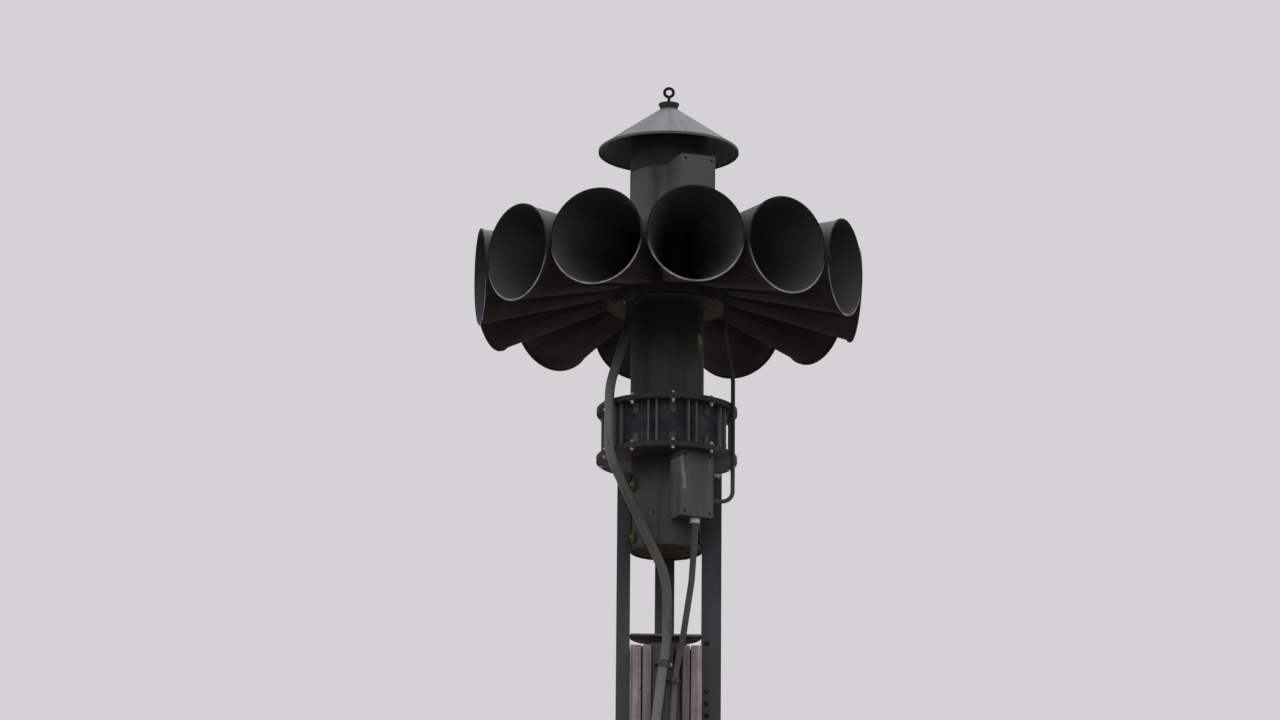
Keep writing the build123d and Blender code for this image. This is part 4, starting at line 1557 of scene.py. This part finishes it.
mesh = bmesh.new()
turns = [math.tau * index / POLE_SIDES for index in range(POLE_SIDES)]
loops = []
for z in reversed(rows):
    loops.append([mesh.verts.new(weathered_point(azimuth, z)) for azimuth in turns])
add_skin(mesh, loops)
weathered = finished("weathered_pole", mesh, pole_timber, smooth_below=40.0)
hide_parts("timber_pole")

# %% [markdown]
# ## Outline and wear of a board
#
# Three boards pack the pole out to the legs, and two narrow strips fill in beside the
# wiring. Their corners have worn round, their fibres stand out in ridges, and thin checks
# run down them. A bevel would round every corner alike. So each board is a stack of
# outlines, and every point of an outline moves inward by the wear at that place. The wood
# never grows past the model's boards.

# %% Board helpers
BOARD_OUTER = 0.142
STRIP_CLEARANCE = 0.0003
BOARD_STEP = 0.0025
CORNER_WEAR = (0.0016, 0.0003)
TOP_WEAR = 0.0016
TOP_WEAR_REACH = 0.003
BOARD_CHECK_FADE = 0.05
BOARD_CHECK_WIDTH = 0.8


def strip_inner(across, z):
    """Inner face of a strip, which follows the round pole."""
    return math.sqrt((pole_radius(z) + STRIP_CLEARANCE) ** 2 - across ** 2)


def board_outline(low, high, outer, inner, z):
    """Points round a board, each across and outward, and the numbers of its four corners."""
    wide = max(2, round((high - low) / BOARD_STEP))
    deep = max(2, round((BOARD_OUTER - BOARD_INNER) / BOARD_STEP))
    inner_low = inner or strip_inner(low, z)
    inner_high = inner or strip_inner(high, z)
    points = [(low + (high - low) * index / wide, outer) for index in range(wide)]
    points += [(high, outer + (inner_high - outer) * index / deep) for index in range(deep)]
    for index in range(wide):
        across = high + (low - high) * index / wide
        points.append((across, inner or strip_inner(across, z)))
    points += [(low, inner_low + (outer - inner_low) * index / deep) for index in range(deep)]
    return points, (0, wide, wide + deep, 2 * wide + deep)


def board_wear(number, index, count, z, checks):
    """Depth of wear at a point of a board: fibres, checks and the worn top end."""
    deepest = 0.0004 * (1.0 + noise.noise(Vector((index * 0.9, number * 7.0, z * 3.0))))
    deepest += 0.0004 * (1.0 + noise.noise(Vector((index * 0.31, number * 3.0, z * 0.8))))
    for start, low, high, depth in checks:
        if low < z < high:
            line = start * count + 1.6 * noise.noise(Vector((start * 50.0, number, z * 7.0)))
            ends = min(1.0, (z - low) / BOARD_CHECK_FADE, (high - z) / BOARD_CHECK_FADE)
            away = abs((index - line + 0.5 * count) % count - 0.5 * count)
            if away < BOARD_CHECK_WIDTH:
                deepest = max(deepest, depth * ends)
    end = max(0.0, 1.0 - (board_high.z - z) / TOP_WEAR_REACH)
    return deepest + TOP_WEAR * end ** 2


def corner_wear(index, count, corners):
    """Extra wear at a corner and at the points beside it."""
    steps = min(min(abs(index - corner), count - abs(index - corner)) for corner in corners)
    return CORNER_WEAR[steps] if steps < len(CORNER_WEAR) else 0.0


print("a board's outline has a point every", BOARD_STEP * 1000, "mm")

# %% [markdown]
# ## The weathered boards
#
# Which board has which checks is left to chance, but to a seeded one, so that every run
# splits the same wood in the same way. The rows of outlines are close at the top end,
# where the corners have worn, and evenly spaced below it.

# %% Lay out the boards
STRIP_OUTER = 0.098
BOARD_ROW = 0.012
BOARD_CHECKS = 9
STRIP_CHECKS = 3
CHECK_LENGTHS = (0.15, 0.55)
CHECK_DEPTHS = (0.0012, 0.0030)
BOARDS = (
    # azimuth, low and high side across it, outer face, inner face where it is flat
    (LEFT_LEG, -0.098, 0.098, BOARD_OUTER, BOARD_INNER),
    (RIGHT_LEG, -0.098, 0.098, BOARD_OUTER, BOARD_INNER),
    (REAR_LEG, -0.093, 0.093, BOARD_OUTER, BOARD_INNER),
    (LEG_TURN, -0.093, -0.057, STRIP_OUTER, None),
    (LEG_TURN, 0.064, 0.093, STRIP_OUTER, None),
)

board_rows = [board_high.z - drop for drop in (0.0, 0.0007, 0.0018, 0.003)]
while board_rows[-1] > board_low.z + 1.5 * BOARD_ROW:
    board_rows.append(board_rows[-1] - BOARD_ROW)
board_rows.append(board_low.z)
print(len(BOARDS), "boards of", len(board_rows), "rows")

# %% Build the weathered boards


def board_loop(mesh, number, z, checks):
    """One outline of a board, worn inward and laid out in the model's frame."""
    azimuth, low, high, outer, inner = BOARDS[number]
    points, corners = board_outline(low, high, outer, inner, z)
    count = len(points)
    loop = []
    for index, (across, out) in enumerate(points):
        before = points[index - 1]
        after = points[(index + 1) % count]
        edge = Vector((after[0] - before[0], after[1] - before[1])).normalized()
        depth = board_wear(number, index, count, z, checks) + corner_wear(index, count, corners)
        place = at(azimuth, out - edge.x * depth, z) + tangent(azimuth) * (across + edge.y * depth)
        loop.append(mesh.verts.new(place))
    return loop


mesh = bmesh.new()
chance = random.Random(11)
for number, (_, _, _, _, inner) in enumerate(BOARDS):
    checks = []
    for _ in range(BOARD_CHECKS if inner else STRIP_CHECKS):
        low = chance.uniform(board_low.z - 0.10, board_high.z - 0.15)
        start = chance.random()
        high = low + chance.uniform(*CHECK_LENGTHS)
        checks.append((start, low, high, chance.uniform(*CHECK_DEPTHS)))
    add_skin(mesh, [board_loop(mesh, number, z, checks) for z in reversed(board_rows)])
boards = finished("weathered_boards", mesh, board_timber, smooth_below=40.0)
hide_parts("packing_boards")

# %% [markdown]
# ## The floor
#
# The floor is pale for the camera but gives little light to the siren, as a field would.
# A pale floor that shone back would light up the undersides, which are nearly black. So
# the finish asks what kind of ray is looking, and shows the pale colour only to rays that
# the camera sends.

# %% Build the floor
FLOOR_SIZE = 70.0
FLOOR_SEEN = (0.600, 0.595, 0.600)
FLOOR_GIVEN = (0.100, 0.096, 0.091)


def seen_directly(network):
    """1 for rays that the camera sends, also by way of gloss or glass."""
    path = network.add("LightPath")
    straight = network.math("MAXIMUM", path.outputs["Is Camera Ray"], path.outputs["Is Glossy Ray"])
    return network.math("MAXIMUM", straight, path.outputs["Is Transmission Ray"])


corners = [(x * FLOOR_SIZE, y * FLOOR_SIZE, 0.0) for x, y in ((-1, -1), (1, -1), (1, 1), (-1, 1))]
data = bpy.data.meshes.new("floor")
data.from_pydata(corners, [], [(0, 1, 2, 3)])
floor = bpy.data.objects.new("floor", data)
bpy.context.scene.collection.objects.link(floor)
floor_finish = Finish("pale_floor", roughness=0.9)
data.materials.append(
    floor_finish.close(floor_finish.mix(seen_directly(floor_finish), FLOOR_GIVEN, FLOOR_SEEN))
)
print("floor", 2 * FLOOR_SIZE, "m wide")

# %% [markdown]
# ## The sky
#
# An overcast sky lights the siren from everywhere above, and the dark ground gives little
# back. One big lamp would cast hard shadows, so the world itself is the light: a gradient
# from a dull ground to a bright sky. Rays that the camera sends see a plain pale grey.

# %% Light the world
SKY = (1.0, 1.0, 1.02)
HORIZON = (0.62, 0.63, 0.65)
GROUND = (0.112, 0.109, 0.106)
SEEN_SKY = (0.660, 0.645, 0.660)

world = bpy.data.worlds.new("overcast")
bpy.context.scene.world = world
world.use_nodes = True
sky = Patterns(world.node_tree, "Generated")
height = sky.plus(sky.times(sky.part(2), 0.5), 0.5)
gradient = sky.ramp(height, (0.0, GROUND), (0.485, GROUND), (0.515, HORIZON), (1.0, SKY))
background = sky.tree.nodes["Background"]
sky.feed(background.inputs["Color"], sky.mix(seen_directly(sky), gradient, SEEN_SKY))
sky.feed(background.inputs["Strength"], 1.0)
print("sky", SKY, "over ground", GROUND)

# %% [markdown]
# ## A veiled sun
#
# Behind thin cloud the sun still gives a weak direction, which shapes the round parts. A
# small sun would draw sharp edges, so this one is spread over a wide angle.

# %% Add the lamp
SUN_STRENGTH = 1.1
SUN_SPREAD = math.radians(35.0)
SUN_AZIMUTH = math.radians(160.0)
SUN_LEAN = 0.5

sun_data = bpy.data.lights.new("veiled_sun", "SUN")
sun_data.energy = SUN_STRENGTH
sun_data.angle = SUN_SPREAD
sun = bpy.data.objects.new("veiled_sun", sun_data)
sun.rotation_euler = at(SUN_AZIMUTH, SUN_LEAN, 1.0).to_track_quat("Z", "Y").to_euler()
bpy.context.scene.collection.objects.link(sun)
print("sun of strength", SUN_STRENGTH)

# %% [markdown]
# ## Finish
#
# The view transform is Standard, so a colour renders about as it is written.

# %% Set the view transform
bpy.context.scene.view_settings.view_transform = "Standard"
